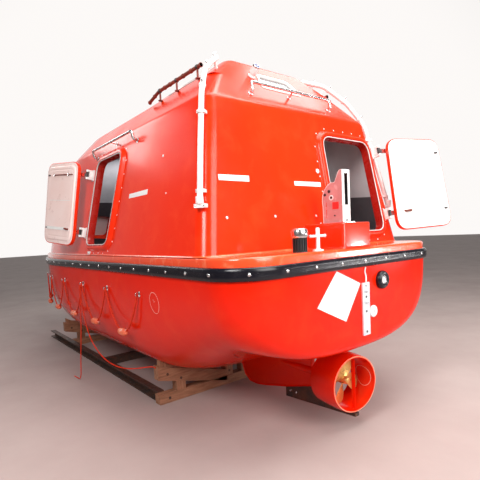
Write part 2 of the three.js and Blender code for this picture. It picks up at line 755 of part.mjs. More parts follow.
function buildDoors() {
  const doors = [
    ["port_door", sideWall(1), sideDoorCorners(1), HINGES.port, 1, -SIDE_DOOR.openAngle],
    ["starboard_door", sideWall(-1), sideDoorCorners(-1), HINGES.starboard, -1, 0],
    ["stern_door", AFT_WALL, STERN_CORNERS, HINGES.stern, -1, STERN_DOOR.openAngle],
  ];
  for (const [name, wall, corners, hinge, towards, angle] of doors) {
    const leaf = leafSolid(wall, corners, SIDE_DOOR.radius, hinge, towards);
    put(name, turnedAbout(geometryOf(leaf), hinge, angle), PAINT.inside());
  }
  put("fore_hatch", hatchLid(FORE_WALL, FORE_CORNERS, FORE_HINGE, LEAF_LOW, 34, 100), PAINT.shell());
  const lidLow = TOP_HATCH.coamingHeight + 6;
  put("top_hatch", hatchLid(TOP_WALL, TOP_CORNERS, TOP_HINGE, lidLow, 26, 90), PAINT.shell());
}

// Steering nozzle and propeller

function nozzleRing() {
  const { outer, inner, half } = NOZZLE;
  // radius and distance forward, round the wall's section
  const section = [
    [inner + 4, -half], [outer - 10, -half], [outer, -half / 3], [outer, half / 3], [outer - 7, half],
    [inner + 9, half], [inner, half / 3], [inner, -half / 3], [inner + 4, -half],
  ];
  return lathed(section, 30).rotateZ(-Math.PI / 2);
}

function buildNozzle() {
  const { x, z, inner, outer, finAft, finFore, turn } = NOZZLE;
  const group = new THREE.Group();
  group.position.set(x, 0, z);
  const reach = inner + 4;
  const straight = [
    nozzleRing(),
    box([-finAft, -finFore], [-7, 7], [-reach, reach]),
    rod(at(0, 0, outer - 12), at(0, 0, STOCK.top - z), STOCK.radius),
  ];
  const turned = straight.map((piece) => piece.rotateZ(THREE.MathUtils.degToRad(turn)));
  put("steering_nozzle", joined(...turned), PAINT.shell(), group);
  boat.add(group);
}

// One blade: sections at growing radius, each turned to the pitch angle there.
function blade() {
  const { tip, hub, pitch } = PROPELLER;
  // share of the radius, chord and thickness
  const sections = [
    [0.05, 70, 14], [0.3, 110, 12], [0.55, 150, 10], [0.8, 150, 8], [0.94, 110, 6], [1, 50, 5],
  ];
  return loft(sections.map(([share, chord, thick]) => {
    const r = hub * 0.6 + (tip - hub * 0.6) * share;
    const turn = Math.atan2(pitch, 2 * Math.PI * r);
    return [[-0.5, 0], [0, -0.5], [0.5, 0], [0, 0.5]].map(([c, t]) => {
      const across = c * chord * Math.cos(turn) - t * thick * Math.sin(turn);
      const along = c * chord * Math.sin(turn) + t * thick * Math.cos(turn);
      const bend = across / r;
      return at(along * 0.62, r * Math.sin(bend), r * Math.cos(bend));
    });
  }));
}

function buildPropeller() {
  const { blades, hub, halfHub } = PROPELLER;
  const group = new THREE.Group();
  group.position.set(NOZZLE.x, 0, NOZZLE.z);
  const boss = lathed([
    [0, -halfHub - 16], [16, -halfHub - 14], [28, -halfHub], [hub, -10], [hub, halfHub], [0, halfHub],
  ], 20);
  const all = [boss.rotateZ(-Math.PI / 2)];
  for (let i = 0; i < blades; i++) all.push(blade().rotateX((2 * Math.PI * i) / blades + 0.35));
  put("propeller", joined(...all), PAINT.brass(), group);
  boat.add(group);
}

// Deck fittings

// The aft hook: its tall edge faces aft, and the slot runs through it fore and aft.
function hookGeometry() {
  const { thickness, slotHalf, slotLow, slotHigh } = HOOK;
  const outline = [
    [-102, 0], [104, 0], [106, 140], [112, 190], [108, 240], [86, 286], [50, 325],
    [18, 342], [-22, 340], [-38, 372], [-56, 412], [-74, 434], [-102, 436],
  ];
  const shape = new THREE.Shape(outline.map(([x, z]) => new THREE.Vector2(x, z)));
  const slot = box([-200, 200], [-slotHalf, slotHalf], [slotLow, slotHigh]);
  return geometryOf(solidOf(upright(shape, thickness)).subtract(solidOf(slot)));
}

function buildHooks() {
  const { aftX, foreX, base, pedestalHalf } = HOOK;
  const wallAtBase = canopyPlan(DECK_TOP).aft;
  const lip = LEAF.coamingLip + SEAT_GAP;
  const rim = grown(STERN_CORNERS, lip);
  const coaming = slab(AFT_WALL, rim, STERN_DOOR.radius + lip, -50, LEAF.coamingHeight + SEAT_GAP);
  const block = box([-3492, wallAtBase + 60], [-pedestalHalf, pedestalHalf], [DECK_TOP, base]);
  const pedestal = solidOf(block)
    .subtract(solidOf(canopyForm().translate(-SEAT_GAP, 0, 0)))
    .subtract(solidOf(coaming));
  put("aft_pedestal", pedestal, PAINT.shell());
  put("fore_pedestal", box([foreX - 150, foreX + 150], [-110, 110], [DECK_TOP, base]), PAINT.shell());
  put("aft_hook", hookGeometry().translate(aftX, 0, base), PAINT.steel());
  put("fore_hook", hookGeometry().rotateZ(Math.PI).translate(foreX, 0, base), PAINT.steel());
}

function buildDeckFittings() {
  const bollard = joined(
    rod(at(0, 0, 0), at(0, 0, 175), 15, 12),
    rod(at(0, -92, 112), at(0, 92, 112), 10, 10),
    new THREE.CylinderGeometry(42, 42, 10, 16).rotateX(Math.PI / 2).translate(0, 0, 5),
  );
  put("bollard", bollard, PAINT.steel()).position.set(-3440, 440, DECK_TOP);
  const profile = [[0, 0], [56, 0], [56, 108], [62, 116], [62, 160], [50, 174], [0, 178]];
  const vent = lathed(profile, 20).rotateX(Math.PI / 2);
  put("vent", vent, PAINT.steel()).position.set(-3405, 600, DECK_TOP);
}

function buildTransomFittings() {
  const face = HULL.transom;
  const ring = lathed([[36, 0], [84, 0], [84, 30], [70, 42], [48, 42], [36, 30], [36, 0]], 24);
  put("exhaust_outlet", ring.rotateZ(Math.PI / 2).translate(face, -283, 1248), PAINT.rubber());
  const bolts = [1090, 1180].map((z) => rod(at(face - 40, -52, z), at(face - 8, -52, z), 14, 10));
  const strip = joined(box([face - 12, face], [-100, -5], [810, 1250]), ...bolts);
  put("transom_strip", strip, PAINT.steel());
  put("zinc_disc", rod(at(face - 14, -154, 995), at(face, -154, 995), 50, 20), PAINT.white());
  const transom = wallFrame(at(face, 0, 0), at(-1, 0, 0), UP);
  const sheet = [[-306, 1374], [-544, 1122], [-209, 966], [-10, 1248]];
  const corners = sheet.map(([across, up]) => new THREE.Vector2(across, up));
  put("blank_sheet", slab(transom, corners, 0, 0, 4), PAINT.white());
}

// Grab rails on the side walls and across the cupola's aft slope

function wallRail(wall, from, to, up, out, supports) {
  const ends = [
    on(wall, from, up - 70, SEAT_GAP), on(wall, from, up - 70, out * 0.6), on(wall, from, up, out),
    on(wall, to, up, out), on(wall, to, up - 70, out * 0.6), on(wall, to, up - 70, SEAT_GAP),
  ];
  const bar = bentBar(ends, 13, 24, 28, 6);
  const stay = (across) => rod(on(wall, across, up, out), on(wall, across, up, SEAT_GAP), 9, 8);
  return joined(bar, ...supports.map(stay));
}

function buildRails() {
  for (const [name, side] of [["rail_port", 1], ["rail_starboard", -1]]) {
    const [aft, fore] = [forward(side, -1760), forward(side, -700)];
    const rail = wallRail(sideWall(side), aft, fore, 1160, 75, [(aft + fore) / 2]);
    put(name, rail, PAINT.steel());
  }
  put("rail_cupola", wallRail(UPPER_AFT_WALL, -500, 500, 190, 70, [0]), PAINT.steel());
}

// Water spray pipes: a riser up each aft corner with a flanged foot, and one along each roof shoulder

const RISER_TURN = THREE.MathUtils.degToRad(55); // how far round the corner from the aft face

function cornerPoint(side, z, out) {
  const { aft, half } = canopyPlan(z);
  const { corner } = CANOPY;
  const reach = corner + out;
  const y = half - corner + reach * Math.sin(RISER_TURN);
  return at(aft + corner - reach * Math.cos(RISER_TURN), side * y, z);
}

function buildSprayPipes() {
  for (const [name, side] of [["port", 1], ["starboard", -1]]) {
    const heights = [1915, 2300, 2790];
    const riser = [
      ...heights.map((z) => cornerPoint(side, z, 46)),
      at(-2740, side * 900, 3010),
      at(-2610, side * 690, 3190),
      at(-2420, side * 560, 3270),
    ];
    const foot = cornerPoint(side, 1930, 22);
    const clamp = cornerPoint(side, 2620, 20);
    const top = at(-2595, side * 690, 3150);
    const solid = joined(
      bentBar(riser, 22, 60, 24),
      box([foot.x - 44, foot.x + 44], [foot.y - 44, foot.y + 44], [1896, 1926]),
      box([clamp.x - 34, clamp.x + 34], [clamp.y - 34, clamp.y + 34], [2606, 2634]),
      rod(top, at(-2560, side * 640, 3060), 14, 8),
    );
    const seated = offTheShell(solid, [-SEAT_GAP, side * SEAT_GAP, 0]);
    put("spray_riser_" + name, seated, PAINT.pipe());

    const y = side * 810;
    const run = [at(-2560, y, 3120), at(-1810, y, 3120), at(-1600, y, 3068)];
    const stands = [-2500, -2150, -1830].map((x) => rod(at(x, y, 3120), at(x, y, 2900), 10, 8));
    const roof = joined(bentBar(run, 16, 40, 12), ...stands);
    put("roof_pipe_" + name, offTheShell(roof, [0, side * SEAT_GAP, SEAT_GAP]), PAINT.rustyPipe());
  }
}

// What is left of a solid outside the canopy and the cupola moved by a step.
function offTheShell(solid, step) {
  const dome = cupolaDome(0, CANOPY.roofZ - 30, CUPOLA.top);
  const outside = solid
    .subtract(solidOf(canopyForm().translate(...step)))
    .subtract(solidOf(dome.translate(...step)));
  return outside.decompose().reduce((best, next) => (next.volume() > best.volume() ? next : best));
}

function buildLamp() {
  const foot = on(UPPER_AFT_WALL, -320, 420, SEAT_GAP);
  const head = on(UPPER_AFT_WALL, -320, 420, 112);
  put("lamp", rod(foot, head, 34, 18), PAINT.white());
}

// Lifelines: rope loops through eyes on the hull, each loop with a float

const LIFELINE = {
  eyes: [-2050, -1270, -500, 250, 1000, 1720, 2380],
  eyeZ: 1200,
  sag: 800,
  rope: 8,
  off: 24,
};

function lifelineGeometry() {
  const { eyes, eyeZ, sag, rope, off } = LIFELINE;
  const hang = (x, z) => at(x, hullSideY(x, eyeZ) + off, z);
  const loops = [];
  const floats = [];
  for (let i = 0; i + 1 < eyes.length; i++) {
    const [a, b] = [eyes[i], eyes[i + 1]];
    const drop = (t) => sag + (eyeZ - sag) * (2 * t - 1) ** 2;
    const bight = fractions(6).map((t) => hang(a + (b - a) * t, drop(t)));
    loops.push(softBar(bight, rope, 9, 6));
    const middle = hang((a + b) / 2, sag);
    const along = hang(b, sag).sub(hang(a, sag));
    const float = ellipsoid(95, 36, 36).rotateZ(Math.atan2(along.y, along.x));
    floats.push(float.translate(...middle.toArray()));
  }
  const blocks = eyes.map((x) => {
    const y = hullSideY(x, eyeZ);
    return box([x - 20, x + 20], [y - 30, y + off + 28], [eyeZ - 22, eyeZ + 26]);
  });
  return joined(...loops, ...floats, ...blocks)
    .subtract(solidOf(hullForm().translate(0, SEAT_GAP, 0)));
}

function buildLifelines() {
  const port = geometryOf(lifelineGeometry());
  put("lifeline_port", port, PAINT.rope());
  put("lifeline_starboard", mirrored(port), PAINT.rope());
}

// Two loose rope tails from one eye: one hangs to the floor, one sags to the cradle

const TAILS = {
  loose_rope_floor: [
    [-488, 1313, 1177.6], [-488, 1313, 1120], [-488, 1315, 1040], [-488, 1319, 930], [-484, 1324, 800],
    [-476, 1330, 660], [-455, 1335, 520], [-432, 1340, 380], [-412, 1344, 250], [-396, 1346, 140],
    [-378, 1348, 60], [-345, 1350, 20], [-290, 1353, 8], [-225, 1357, 6.5], [-160, 1362, 6.5],
  ],
  loose_rope_cradle: [
    [-512, 1313, 1177.6], [-513, 1313, 1120], [-523, 1313, 1010], [-556, 1311, 860], [-626, 1308, 690],
    [-740, 1298, 545], [-900, 1282, 440], [-1080, 1258, 375], [-1260, 1222, 345], [-1430, 1174, 348],
    [-1560, 1112, 366], [-1640, 1052, 382], [-1700, 1016, 388], [-1740, 1009.6, 386],
  ],
};

function buildLooseRopes() {
  for (const [name, route] of Object.entries(TAILS))
    put(name, softBar(route.map((p) => at(...p)), 6, 40, 8), PAINT.rope());
}

// Cabin: benches along both sides and the engine under the helm

function buildCabin() {
  const { sole } = HULL;
  const cabin = solidOf(hullInside(SEAT_GAP));
  for (const [name, side] of [["bench_port", 1], ["bench_starboard", -1]]) {
    const across = side > 0 ? [620, 1180] : [-1180, -620];
    put(name, solidOf(box([-1650, 1350], across, [sole, sole + 430])).intersect(cabin), PAINT.seat());
  }
  const engine = box([-2650, -1800], [-290, 290], [sole, sole + 560]);
  put("engine_block", solidOf(engine).intersect(cabin), PAINT.engine());
}

// Cradle: two timber frames cut to the hull, joined by steel rails and a middle tie

function cradleFrame(reach) {
  const { timber } = CRADLE;
  const mirrorImage = (points) => points.map(([y, z]) => [-y, z]).reverse();
  const beam = [[1003, 250], [1003, 490], [880, 415], [180, 262], [150, 40]].reverse();
  const outer = [[690, 60], [802, 60], [802, 320], [690, 300]];
  const inner = [[64, 60], [166, 60], [166, 250], [64, 240]];
  const outlines = [
    [[-reach, 0], [reach, 0], [reach, 100], [-reach, 100]],
    beam, mirrorImage(beam), outer, mirrorImage(outer), inner, mirrorImage(inner),
  ];
  const pieces = outlines.map((points) => {
    const shape = new THREE.Shape(points.map(([y, z]) => new THREE.Vector2(y, z)));
    return new THREE.ExtrudeGeometry(shape, { depth: timber, bevelEnabled: false })
      .rotateX(Math.PI / 2).rotateZ(Math.PI / 2).translate(-timber / 2, 0, 0);
  });
  return pieces;
}

function buildCradle() {
  const { aftX, foreX, timber, reach, railY, railHalf, railHeight, railFore } = CRADLE;
  const inside = railY - railHalf;
  const frames = [["cradle_frame_aft", aftX, reach], ["cradle_frame_fore", foreX, inside]];
  for (const [name, x, half] of frames) {
    const pieces = cradleFrame(half).map((g) => g.translate(x, 0, 0));
    put(name, joined(...pieces).subtract(solidOf(hullForm(SEAT_GAP))), PAINT.timber());
  }
  for (const [name, side] of [["cradle_rail_port", 1], ["cradle_rail_starboard", -1]]) {
    const across = [side * railY - railHalf, side * railY + railHalf];
    put(name, box([aftX + timber / 2, railFore], across, [0, railHeight]), PAINT.darkSteel());
  }
  put("cradle_tie", box([-timber / 2, timber / 2], [-inside, inside], [0, timber]), PAINT.timber());
}

buildHull();
buildSkeg();
buildFenderAndDeck();
buildCanopy();
buildDoors();
buildNozzle();
buildPropeller();
buildHooks();
buildDeckFittings();
buildTransomFittings();
buildRails();
buildSprayPipes();
buildLamp();
buildLifelines();
buildLooseRopes();
buildCabin();
buildCradle();

export default boat;
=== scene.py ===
"""A totally enclosed lifeboat on its cradle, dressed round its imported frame.

Metres, +X forward, +Y to port, +Z up, with the origin on the floor under the cradle's tie.
Every large surface is worked out from the same formulas as the frame's own solids.
"""

import logging
import math
from dataclasses import dataclass
from enum import Enum

import bmesh
import bpy
import numpy as np
from mathutils import Matrix, Vector

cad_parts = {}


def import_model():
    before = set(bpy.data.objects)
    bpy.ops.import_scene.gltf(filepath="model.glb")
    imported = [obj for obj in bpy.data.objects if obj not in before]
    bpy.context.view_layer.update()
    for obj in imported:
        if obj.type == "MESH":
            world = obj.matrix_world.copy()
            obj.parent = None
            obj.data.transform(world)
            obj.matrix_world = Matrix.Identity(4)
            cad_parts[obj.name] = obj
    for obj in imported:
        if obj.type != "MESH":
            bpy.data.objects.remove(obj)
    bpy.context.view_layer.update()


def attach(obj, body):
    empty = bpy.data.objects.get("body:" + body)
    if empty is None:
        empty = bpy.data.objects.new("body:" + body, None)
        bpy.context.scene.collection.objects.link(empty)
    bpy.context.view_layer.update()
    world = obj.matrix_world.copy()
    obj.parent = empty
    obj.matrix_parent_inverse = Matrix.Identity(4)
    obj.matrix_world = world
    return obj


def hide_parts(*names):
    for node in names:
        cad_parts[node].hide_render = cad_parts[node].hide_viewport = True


Array = np.ndarray
Span = tuple[float, float]
Triple = tuple[float, float, float]
LOG = logging.getLogger("lifeboat")
QUARTER = math.pi / 2
UP = np.array([0.0, 0.0, 1.0])
MERGE = 2e-5  # points closer than this are one
SEAT_GAP = 0.0003  # the frame's own gap between fitted pieces
TINY = 1e-9  # the least length that a way is divided by
SIDES = {"port": 1, "starboard": -1}


class Body(str, Enum):
    """The bodies of the frame that pieces ride on."""

    BOAT = "boat"
    PORT_DOOR = "port_door"
    STARBOARD_DOOR = "starboard_door"
    STERN_DOOR = "stern_door"
    FORE_HATCH = "fore_hatch"
    TOP_HATCH = "top_hatch"
    NOZZLE = "nozzle"
    PROPELLER = "propeller"


# Meshes from arrays


@dataclass
class Patch:
    """Points and faces, with the number of the finish that they take.

    Attributes:
        points: Places, one row each.
        faces: Arrays of point numbers, each array with faces of one size.
        finish: Number of the piece's finish.
    """

    points: Array
    faces: list[Array]
    finish: int = 0

    def placed(self, matrix: Array) -> "Patch":
        """Gives a copy carried by a 4 by 4 matrix."""
        return Patch(self.points @ matrix[:3, :3].T + matrix[:3, 3], self.faces, self.finish)


def unit(ways: Array) -> Array:
    """Ways brought to a length of one."""
    return ways / np.maximum(np.linalg.norm(ways, axis=-1, keepdims=True), TINY)


def run_of(path: Array) -> Array:
    """Length along a path from its start to each of its points."""
    return np.concatenate([[0], np.cumsum(np.linalg.norm(np.diff(path, axis=0), axis=1))])


def angles(count: int) -> Array:
    """Angles spaced evenly round a full turn."""
    return np.arange(count) * math.tau / count


def curve(start: Array, corner: Array, end: Array, t: Array) -> Array:
    """Points of the quadratic curve from a start to an end that a corner pulls."""
    return (1 - t) ** 2 * start + 2 * t * (1 - t) * corner + t**2 * end


def grid(points: Array, round_u: bool = False, round_v: bool = False, finish: int = 0) -> Patch:
    """Joins a grid of points into four-sided faces.

    Args:
        points: Places, rows along u and columns along v.
        round_u: Whether the last row joins the first.
        round_v: Whether the last column joins the first.
        finish: Number of the finish.

    Returns:
        The patch.
    """
    index = np.arange(points.shape[0] * points.shape[1]).reshape(points.shape[:2])
    if round_u:
        index = np.vstack([index, index[:1]])
    if round_v:
        index = np.hstack([index, index[:, :1]])
    corners = [index[:-1, :-1], index[1:, :-1], index[1:, 1:], index[:-1, 1:]]
    return Patch(points.reshape(-1, 3), [np.stack(corners, -1).reshape(-1, 4)], finish)


def lid(ring: Array, finish: int = 0, rows: int = 1) -> Patch:
    """Closes a ring by one face, or by smaller and smaller rings round its middle with a fan inside the last.

    Args:
        ring: The closed ring's places.
        finish: Number of the finish.
        rows: How many rings there are, or 1 for one face.

    Returns:
        The patch.
    """
    count = len(ring)
    if rows == 1:
        return Patch(ring, [np.arange(count)[None]], finish)
    middle = ring.mean(0)
    shares = np.linspace(0, 1, rows + 1)[:-1]
    rings = ring[None] + (middle - ring)[None] * shares[:, None, None]
    points = np.vstack([rings.reshape(-1, 3), middle])
    last = (rows - 1) * count
    around = np.arange(count)
    fan = np.stack([last + around, last + (around + 1) % count, np.full(count, rows * count)], -1)
    return Patch(points, [fan, *grid(rings, round_v=True).faces], finish)


def loft(rings: Array, finish: int = 0, rows: int = 1) -> list[Patch]:
    """A surface through closed rings of equal length, closed at both ends.

    Args:
        rings: Places, one row of points for each ring.
        finish: Number of the finish.
        rows: Rows of faces in each end.

    Returns:
        The wall and its two ends.
    """
    ends = [lid(rings[0], finish, rows), lid(rings[-1], finish, rows)]
    return [grid(rings, round_v=True, finish=finish), *ends]


def rounded(corners: Array, radius: float, steps: int = 8) -> Array:
    """An outline whose corners are quadratic curves that start a radius away from them.

    Args:
        corners: Corners of a convex outline, anticlockwise.
        radius: Distance from a corner to its curve's ends.
        steps: Steps in each curve.

    Returns:
        The outline's points.
    """
    corners = np.asarray(corners, float)
    start, end = (corners + unit(np.roll(corners, step, 0) - corners) * radius for step in (1, -1))
    t = np.linspace(0, 1, steps + 1)[None, :, None]
    return curve(start[:, None], corners[:, None], end[:, None], t).reshape(-1, 2)


def rectangle(width: float, height: float, x: float = 0, y: float = 0) -> Array:
    """The corners of a rectangle round a point, anticlockwise."""
    unit = np.array([[-0.5, -0.5], [0.5, -0.5], [0.5, 0.5], [-0.5, 0.5]])
    return unit * [width, height] + [x, y]


def circle(radius: float, sides: int = 24, x: float = 0, y: float = 0) -> Array:
    """Points round a circle, anticlockwise."""
    angle = angles(sides)
    return np.stack([x + radius * np.cos(angle), y + radius * np.sin(angle)], -1)


def grown(outline: Array, by: float) -> Array:
    """Moves an anticlockwise outline outwards: each side moves by the same distance.

    Args:
        outline: Closed outline, anticlockwise.
        by: Distance, inwards where it is below zero.

    Returns:
        The moved outline.
    """
    way = np.roll(outline, -1, 0) - outline
    normal = unit(np.stack([way[:, 1], -way[:, 0]], -1))
    before = np.roll(normal, 1, 0)
    share = by / (1 + (normal * before).sum(1, keepdims=True))
    return outline + (normal + before) * share


def lifted(outline: Array, height: float) -> Array:
    """An outline's points at a height."""
    return np.column_stack([outline, np.full(len(outline), height)])


def slab(outline: Array, low: float, high: float, bevel: float = 0.0, finish: int = 0) -> list[Patch]:
    """An outline stood up between two heights, its upper and lower edges rounded by a quarter circle.

    Args:
        outline: Closed outline, anticlockwise.
        low: Height of the underside.
        high: Height of the top.
        bevel: Radius of the rounded edges.
        finish: Number of the finish.

    Returns:
        The closed form.
    """
    if bevel <= 0:
        return loft(np.stack([lifted(outline, low), lifted(outline, high)]), finish)
    angle = np.linspace(0, QUARTER, 4)
    inset, drop = bevel * (1 - np.cos(angle[::-1])), bevel * (1 - np.sin(angle[::-1]))
    lower = [lifted(grown(outline, -a), low + b) for a, b in zip(inset, drop[::-1])]
    upper = [lifted(grown(outline, -a), high - b) for a, b in zip(inset[::-1], drop)]
    return loft(np.stack(lower + upper), finish)


def moulding(outline: Array, profile: Array, finish: int = 0) -> Patch:
    """Carries a closed profile round an outline.

    Args:
        outline: Closed outline, anticlockwise.
        profile: Rows of distance outwards from the outline and height.
        finish: Number of the finish.

    Returns:
        The closed band.
    """
    rows = [lifted(grown(outline, out), height) for out, height in np.asarray(profile, float)]
    return grid(np.stack(rows), round_u=True, round_v=True, finish=finish)


def tube(path: Array, radius: float | Array, sides: int = 12, finish: int = 0,
         lobes: int = 0, lay: float = 0.05) -> list[Patch]:
    """A round bar or a laid rope along a path.

    The section stands square to the path. A rope's radius is R (0.84 + 0.16 |cos(n (a - 2 pi s / lay) / 2)|)
    at angle a and length s, with n strands.

    Args:
        path: Places along the middle.
        radius: One radius, or one for each place.
        sides: Points round the section.
        finish: Number of the finish.
        lobes: Number of strands, or none for a plain bar.
        lay: Length in which a strand turns once.

    Returns:
        The wall and its two ends.
    """
    along = unit(np.gradient(path, axis=0))
    flat = np.linalg.svd(path - path.mean(0))[2][2]
    first = unit(np.cross(flat, along))
    second = np.cross(along, first)
    angle = angles(sides)
    reach = np.broadcast_to(np.asarray(radius, float).reshape(-1, 1), (len(path), sides)).copy()
    if lobes:
        turned = math.tau * run_of(path)[:, None] / lay
        reach *= 0.84 + 0.16 * np.abs(np.cos(lobes / 2 * (angle[None] - turned)))
    ring = first[:, None] * np.cos(angle)[None, :, None] + second[:, None] * np.sin(angle)[None, :, None]
    return loft(path[:, None] + ring * reach[:, :, None], finish)


def rod(start: Array, end: Array, radius: float, sides: int = 16, finish: int = 0) -> list[Patch]:
    """A straight round bar between two points, its edges broken by a small bevel.

    Args:
        start: Middle of one end.
        end: Middle of the other.
        radius: The bar's radius.
        sides: Points round it.
        finish: Number of the finish.

    Returns:
        The closed form.
    """
    start, end = np.asarray(start, float), np.asarray(end, float)
    length = np.linalg.norm(end - start)
    edge = min(radius * 0.15, length * 0.2)
    shares = np.array([0, edge / length, 1 - edge / length, 1])
    path = start + (end - start) * shares[:, None]
    return tube(path, np.array([radius - edge, radius, radius, radius - edge]), sides, finish)


def bent(points: Array, bend: float, steps: int = 8) -> Array:
    """A path of straight runs whose corners are quadratic curves.

    Args:
        points: Corners of the path.
        bend: Distance from a corner to its curve's ends.
        steps: Points in each curve.

    Returns:
        The path's places.
    """
    points = np.asarray(points, float)
    runs = [points[:1]]
    t = np.linspace(0, 1, steps)[:, None]
    for before, corner, after in zip(points[:-2], points[1:-1], points[2:]):
        start, end = (corner + unit(other - corner) * bend for other in (before, after))
        runs.append(curve(start, corner, end, t))
    return np.vstack([*runs, points[-1:]])


def smooth_path(points: Array, spacing: float) -> Array:
    """A smooth curve through points: cubic pieces between them, spaced evenly along its length.

    Args:
        points: Places that the curve passes.
        spacing: Distance between the places given back.

    Returns:
        The curve's places.
    """
    points = np.asarray(points, float)
    knots = np.concatenate([[0], np.cumsum(np.linalg.norm(np.diff(points, axis=0), axis=1) ** 0.5)])
    slope = np.gradient(points, knots, axis=0)
    at = np.linspace(0, knots[-1], 40 * len(points))
    piece_no = np.clip(np.searchsorted(knots, at, side="right") - 1, 0, len(points) - 2)
    width = (knots[piece_no + 1] - knots[piece_no])[:, None]
    t = (at[:, None] - knots[piece_no][:, None]) / width
    a, b = points[piece_no], points[piece_no + 1]
    fine = ((1 + 2 * t) * (1 - t) ** 2 * a + t**2 * (3 - 2 * t) * b
            + width * t * (1 - t) ** 2 * slope[piece_no] - width * t**2 * (1 - t) * slope[piece_no + 1])
    run = run_of(fine)
    even = np.linspace(0, run[-1], max(int(run[-1] / spacing), 2) + 1)
    return np.stack([np.interp(even, run, fine[:, k]) for k in range(3)], -1)


def revolved(profile: Array, sides: int = 32, finish: int = 0, closed: bool = False) -> list[Patch]:
    """Turns a profile of radius and height round +Z.

    Args:
        profile: Rows of radius and height.
        sides: Points round it.
        finish: Number of the finish.
        closed: Whether the profile closes on itself, as a ring's does.

    Returns:
        The wall, with its ends where it isn't closed.
    """
    angle = angles(sides)
    profile = np.asarray(profile, float)
    rings = np.stack([
        profile[:, :1] * np.cos(angle), profile[:, :1] * np.sin(angle),
        np.repeat(profile[:, 1:], sides, 1)], -1)
    if closed:
        return [grid(rings, round_u=True, round_v=True, finish=finish)]
    return loft(rings, finish)


def copies(patches: list[Patch], matrices: list[Array]) -> list[Patch]:
    """The same patches at several places."""
    return [patch.placed(matrix) for matrix in matrices for patch in patches]


def placed(patches: list[Patch], matrix: Array) -> list[Patch]:
    """All of some patches carried by a matrix."""
    return copies(patches, [matrix])


def basis(point: Array, out: Array, up: Array = UP) -> Array:
    """A frame on a wall: across, up the wall and out of it, at a point on its face.

    Args:
        point: The frame's origin.
        out: The way out of the wall.
        up: The way that the wall's up follows.

    Returns:
        The frame as a 4 by 4 matrix.
    """
    w = unit(np.asarray(out, float))
    v = unit(up - w * (up @ w))
    matrix = np.eye(4)
    matrix[:3, :4] = np.column_stack([np.cross(v, w), v, w, point])
    return matrix


def shift(x: float, y: float, z: float) -> Array:
    """A matrix that only moves.

    Args:
        x: Distance along x.
        y: Distance along y.
        z: Distance along z.

    Returns:
        The matrix.
    """
    matrix = np.eye(4)
    matrix[:3, 3] = [x, y, z]
    return matrix


def turn(degrees: float, axis: str | Array = "Z", point: Array = (0, 0, 0)) -> Array:
    """A matrix that turns about an axis through a point.

    Args:
        degrees: The angle.
        axis: A letter or a way.
        point: A point of the axis.

    Returns:
        The matrix.
    """
    way = axis if isinstance(axis, str) else Vector(axis)
    spin = Matrix.Rotation(math.radians(degrees), 4, way)
    return np.array(Matrix.Translation(point) @ spin @ Matrix.Translation(-Vector(point)))


UPRIGHT = np.array([[1, 0, 0, 0], [0, 0, -1, 0], [0, 1, 0, 0], [0, 0, 0, 1]], float)


def on(wall: Array, across: float, up: float, out: float) -> Array:
    """A point of a wall's frame in the boat's frame."""
    return (wall @ [across, up, out, 1])[:3]


def off(wall: Array, point: Array) -> Array:
    """A point of the boat's frame as across, up and out of a wall's frame."""
    return (np.linalg.inv(wall) @ [*point, 1])[:3]


def linked(name: str, data: bpy.types.ID) -> bpy.types.Object:
    """Makes an object of a mesh, lamp or camera, and puts it in the scene.

    Args:
        name: The object's name.
        data: What it shows.

    Returns:
        The object.
    """
    made = bpy.data.objects.new(name, data)
    bpy.context.scene.collection.objects.link(made)
    return made


def mesh_of(name: str, patches: list[Patch]) -> bpy.types.Mesh:
    """Makes one mesh of patches, with its doubles merged and its faces turned outwards.

    Args:
        name: The mesh's name.
        patches: Its surfaces.

    Returns:
        The mesh.
    """
    points, faces, finishes, first = [], [], [], 0
    for patch in patches:
        points.append(patch.points)
        for block in patch.faces:
            faces += (block + first).tolist()
            finishes += [patch.finish] * len(block)
        first += len(patch.points)
    mesh = bpy.data.meshes.new(name)
    mesh.from_pydata(np.vstack(points).tolist(), [], faces)
    mesh.polygons.foreach_set("material_index", finishes)
    tidy(mesh)
    return mesh


def tidy(mesh: bpy.types.Mesh) -> None:
    """Merges a mesh's doubles and turns its faces outwards.

    Args:
        mesh: The mesh that is put in order.
    """
    work = bmesh.new()
    work.from_mesh(mesh)
    bmesh.ops.remove_doubles(work, verts=work.verts, dist=MERGE)
    bmesh.ops.dissolve_degenerate(work, edges=work.edges, dist=MERGE / 4)
    bmesh.ops.recalc_face_normals(work, faces=work.faces)
    work.to_mesh(mesh)
    work.free()


def carved(name: str, solid: list[Patch], cutters: list[list[Patch]], finishes: int) -> bpy.types.Mesh:
    """Cuts solids out of a solid, and gives the mesh that is left.

    Args:
        name: Name of the mesh.
        solid: The closed solid that is cut.
        cutters: The closed solids that cut it, each with the finish that its cut gets.
        finishes: How many finishes the piece has.

    Returns:
        The mesh.
    """
    work = linked(name, mesh_of(name, solid))
    tools = []
    for number, cutter in enumerate(cutters):
        tool = linked(f"{name}_tool{number}", mesh_of(f"{name}_tool{number}", cutter))
        cut = work.modifiers.new(f"cut{number}", "BOOLEAN")
        cut.operation, cut.solver, cut.object = "DIFFERENCE", "EXACT", tool
        tools.append(tool)
    blank = bpy.data.materials.new("blank")
    for thing in [work, *tools]:
        for _ in range(finishes):
            thing.data.materials.append(blank)
    bpy.context.view_layer.update()
    evaluated = work.evaluated_get(bpy.context.evaluated_depsgraph_get())
    mesh = bpy.data.meshes.new_from_object(evaluated)
    numbers = np.zeros(len(mesh.polygons), int)
    mesh.polygons.foreach_get("material_index", numbers)
    mesh.materials.clear()
    mesh.polygons.foreach_set("material_index", numbers)
    for thing in [work, *tools]:
        bpy.data.objects.remove(thing)
    bpy.data.materials.remove(blank)
    tidy(mesh)
    return mesh


